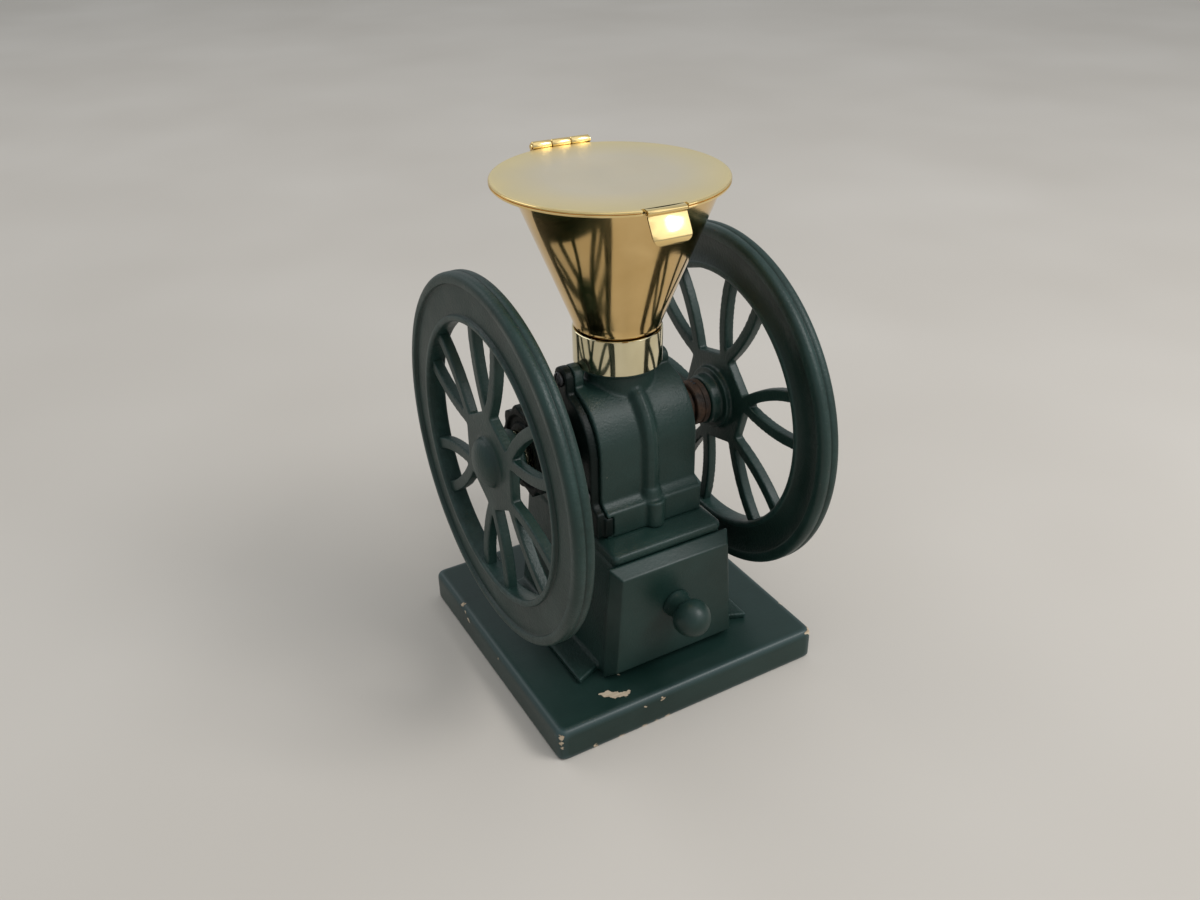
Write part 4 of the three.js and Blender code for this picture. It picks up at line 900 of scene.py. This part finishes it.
face_view = [(-TAB_HALF, 8.0), *arc((-bend_x, bend_z), TIP_ROUND, 180, 270, 8),
             *arc((bend_x, bend_z), TIP_ROUND, 270, 360, 8), (TAB_HALF, 8.0)]
shape = plate("tab_outline", [(x, LID_FRONT - 12, z) for x, z in face_view], (0, 20, 0))
combine(tab, shape, "INTERSECT")
round_edges(tab, 0.18, 2, 50)
lid_whole = one_piece("satin_lid", [lid, tab])
middle = metres(0, LID_BACK, 0)
SATIN_R = LID_R - 0.9
polished = [(face.center - middle).xy.length > SATIN_R * MM for face in lid_whole.data.polygons]
lid_whole.data.transform(hinge_place)
fit(lid_whole, "lid", ["lid"], satin_brass, 30)
lid_whole.data.materials.append(gold_brass)
for face, bright in zip(lid_whole.data.polygons, polished):
    face.material_index = int(bright)
print("polished faces of the lid:", sum(polished))

# %% [markdown]
# Three knuckles share one pin. The middle one and its leaf go with the lid, the outer two and
# the bracket behind them stay with the hopper. A little room is left between the knuckles and
# round the pin, so that the lid can swing.

# %% Hinge: knuckles and pin
KNUCKLE_HALF, HINGE_R, PIN_BORE, GAP = 5.2, 2.4, 1.25, 0.125


def knuckle(name, start, end):
    """A rounded tube on the pin's line from start to end."""
    r, w, bore = HINGE_R, 0.45, PIN_BORE
    profile = [(bore, start), (r - w, start), (r - 0.1, start + 0.25), (r, start + w), (r, end - w),
               (r - 0.1, end - 0.25), (r - w, end), (bore, end), (bore, start)]
    return turned(name, profile, "X", steps=48)


leaf_corners = [(-5.05, -6.2), (5.05, -6.2), (5.05, -1.2), (-5.05, -1.2)]
leaf = plate("lid_leaf", [(x, y, -2.7) for x, y in leaf_corners], (0, 0, 0.8))
bore = turned("pin_bore", [(0, -6), (PIN_BORE, -6), (PIN_BORE, 6), (0, 6)], "X", steps=48)
combine(leaf, bore, "DIFFERENCE")
middle_knuckle = knuckle("lid_tube", -KNUCKLE_HALF + GAP, KNUCKLE_HALF - GAP)
lid_leaf = one_piece("lid_knuckle", [middle_knuckle, leaf])
lid_leaf.data.transform(hinge_place)
fit(lid_leaf, "lid", ["lid_hinge_leaf"], gold_brass, 30)

pin_half = [(1.0, 15.8), (1.5, 15.8), (1.5, 16.1), (0.9, 16.5), (0, 16.6)]
pin_profile = [(radius, -x) for radius, x in pin_half[::-1]] + pin_half
pin = turned("brass_pin", pin_profile, "X", steps=32)
pin.data.transform(hinge_place)
fit(pin, "hopper", ["hinge_pin"], gold_brass, 30)

# %% [markdown]
# The bracket is a plate whose side view follows the cone's back wall. A turned copy of that
# wall is cut out of it, so it hugs the cone from edge to edge.

# %% Hinge: bracket


def wall(drop):
    """How far the cone's back wall lies behind the pin, at a depth below the pin."""
    return cone_at(pin_place.z / MM - drop) + SHAFT_Y - pin_place.y / MM


bracket_line = [
    (2.4, 0), (2.4, -5), (1.6, -6.2), (wall(9) + 1.8, -9.6), (wall(22) + 1.3, -22),
    (wall(22) - 5, -22), (wall(5.6) - 1.2, -5.6), (wall(0) + 1.8, -5.4), (1.4, -4.2), (1.4, 0),
]
bracket_side = [(-HINGE_HALF, y, z) for y, z in bracket_line]
bracket = plate("hopper_bracket", bracket_side, (2 * HINGE_HALF, 0, 0))
cut_box(bracket, (-5.33, -4, -3.4), (5.33, 4, 4))
skin_profile = [(0, CONE_FOOT_Z), (NECK + 0.3, CONE_FOOT_Z), (mouth + 0.3, MOUTH_Z - 2.6),
                (mouth + 1.2, MOUTH_Z - 2.2), (mouth + 1.2, MOUTH_Z + 1), (0, MOUTH_Z + 1)]
skin = turned("hopper_skin", skin_profile, "Z", (0, SHAFT_Y, 0), 96)
skin.data.transform(hinge_place.inverted())
combine(bracket, skin, "DIFFERENCE")
bore = turned("pin_bore", [(0, -17), (PIN_BORE, -17), (PIN_BORE, 17), (0, 17)], "X", steps=48)
combine(bracket, bore, "DIFFERENCE")
round_edges(bracket, 0.2, 2, 40)
left_knuckle = knuckle("left_knuckle", -HINGE_HALF, -KNUCKLE_HALF - GAP)
right_knuckle = knuckle("right_knuckle", KNUCKLE_HALF + GAP, HINGE_HALF)
hopper_leaf = one_piece("hopper_hinge", [bracket, left_knuckle, right_knuckle])
hopper_leaf.data.transform(hinge_place)
fit(hopper_leaf, "hopper", ["hopper_hinge_leaf"], gold_brass, 30)

# %% [markdown]
# Small turned rings sit on the shaft between the castings: a rusty stop collar with a groove, a
# thrust washer, and the two bushes, whose ends show. They are short, so each is one profile with
# its corners broken. The right bush is as brown as the stop collar beside it.

# %% Rings on the shaft
RING_HOLE = 7.3


def ring(name, node, outer, groove):
    """A ring with broken corners in the place of a CAD node along the shaft."""
    low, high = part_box(node)
    x0, x1 = low.x / MM, high.x / MM
    w, middle = 0.45, (x0 + x1) / 2
    waist = [(outer, middle - 1.1), (outer - groove, middle - 0.7),
             (outer - groove, middle + 0.7), (outer, middle + 1.1)]
    profile = [(RING_HOLE, x0), (outer - w, x0), (outer, x0 + w), *(waist if groove else []),
               (outer, x1 - w), (outer - w, x1), (RING_HOLE, x1), (RING_HOLE, x0)]
    return turned(name, profile, "X", (0, SHAFT_Y, SHAFT_Z), 72)


RINGS = [  # new name, node, outer radius, groove, body, slot, finish
    ("rusty_stop_ring", "shaft_collar", 12.3, 0.5, "shaft", "rusty_iron", FINISHES["rusty_iron"]),
    ("brass_thrust_ring", "thrust_washer", 12.0, 0, "shaft", "polished_brass", pale_brass),
    ("right_bronze_bush", "right_bush", 10.2, 0, "root", "bronze", FINISHES["rusty_iron"]),
    ("left_bronze_bush", "left_bush", 10.2, 0, "root", "bronze", FINISHES["bronze"]),
]
for name, node, outer, groove, body, slot, finish in RINGS:
    fit(ring(name, node, outer, groove), body, [node], finish)

# %% [markdown]
# The burr spring is one wound wire. A small circle is drawn at the spring's radius and a Screw
# modifier winds it round the shaft; its two ends are then filled.

# %% Burr spring
spring_low, spring_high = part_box("burr_spring")
wire, spring_r, curls = 0.6, 9.4, 2
bpy.ops.object.select_all(action="DESELECT")
bpy.ops.mesh.primitive_circle_add(vertices=14, radius=wire * MM,
                                  location=metres(0, 0, spring_r), rotation=(math.pi / 2, 0, 0))
spring = bpy.context.object
spring.name = spring.data.name = "wound_burr_spring"
bpy.ops.object.transform_apply(location=True, rotation=True, scale=True)
rise = spring_high.x - spring_low.x - 2 * wire * MM
modify(spring, "SCREW", axis="X", angle=curls * math.tau, screw_offset=rise, steps=48 * curls,
       render_steps=48 * curls, use_merge_vertices=False)
only(spring)
bpy.ops.object.mode_set(mode="EDIT")
bpy.ops.mesh.select_all(action="SELECT")
bpy.ops.mesh.fill_holes(sides=20)
close_up()
spring.data.transform(on_shaft(spring_low.x + wire * MM))
fit(spring, "shaft", ["burr_spring"], FINISHES["steel"], 60)

# %% [markdown]
# Fourteen slotted screws hold the mill together. One function turns a screw to its length and
# cuts its slot. Each is then swung from the X axis to the side that its head faces. The grub
# screws of the wheels and of the stop collar have no head, and stay as they are.

# %% Screws
HEAD_HIGH = 2.4
HEAD_SIDES = {"foot": (0, 0, 1), "roof": (0, 0, -1), "left_cover": (-1, 0, 0),
              "knob": (0, 1, 0), "front": (0, 1, 0)}


def slotted_screw(name, length):
    """A screw along X whose head starts at x = 0."""
    profile = [(0, -length), (1.5, -length), (2.0, -length + 0.6), (2.0, 0), (3.7, 0), (3.9, 0.2),
               (3.9, 0.9), (3.6, 1.6), (2.9, 2.15), (1.6, 2.38), (0, HEAD_HIGH)]
    piece = turned(name, profile, "X", steps=28)
    cut_box(piece, (1.3, -5, -0.45), (4, 5, 0.45))
    return piece


def is_screw(node):
    return "_screw" in node and "wheel" not in node and "collar" not in node


record = frame["record"]
screws = sorted(node for node in frame["nodes"] if is_screw(node))
for node in screws:
    side = Vector(next(way for start, way in HEAD_SIDES.items() if node.startswith(start)))
    low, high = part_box(node)
    size, middle = high - low, (low + high) / 2
    along = abs(size.dot(side))
    piece = slotted_screw("slotted_" + node, along / MM - HEAD_HIGH)
    swing = Vector((1, 0, 0)).rotation_difference(side).to_matrix().to_4x4()
    head_base = middle + side * (along / 2 - HEAD_HIGH * MM)
    piece.data.transform(Matrix.Translation(head_base) @ swing)
    slot = next(part["material_slot"] for part in record["subparts"] if part["node"] == node)
    body = next(name for name, nodes in record["behaviour"]["bodies"].items() if node in nodes)
    fit(piece, body, [node], FINISHES[slot])
print("screws made:", len(screws))

# %% [markdown]
# The pieces that stay as the CAD has them are inside the mill or are plain by nature, such as
# the burrs, the feed screw, the shaft and the drawer's box. They get the finish of their slot.

# %% Remaining CAD pieces
for part in record["subparts"]:
    node = frame["nodes"][part["node"]]
    if not node.hide_render:
        node.data.materials.clear()
        node.data.materials.append(FINISHES[part["material_slot"]])
        print("kept", part["node"], "in", FINISHES[part["material_slot"]].name)
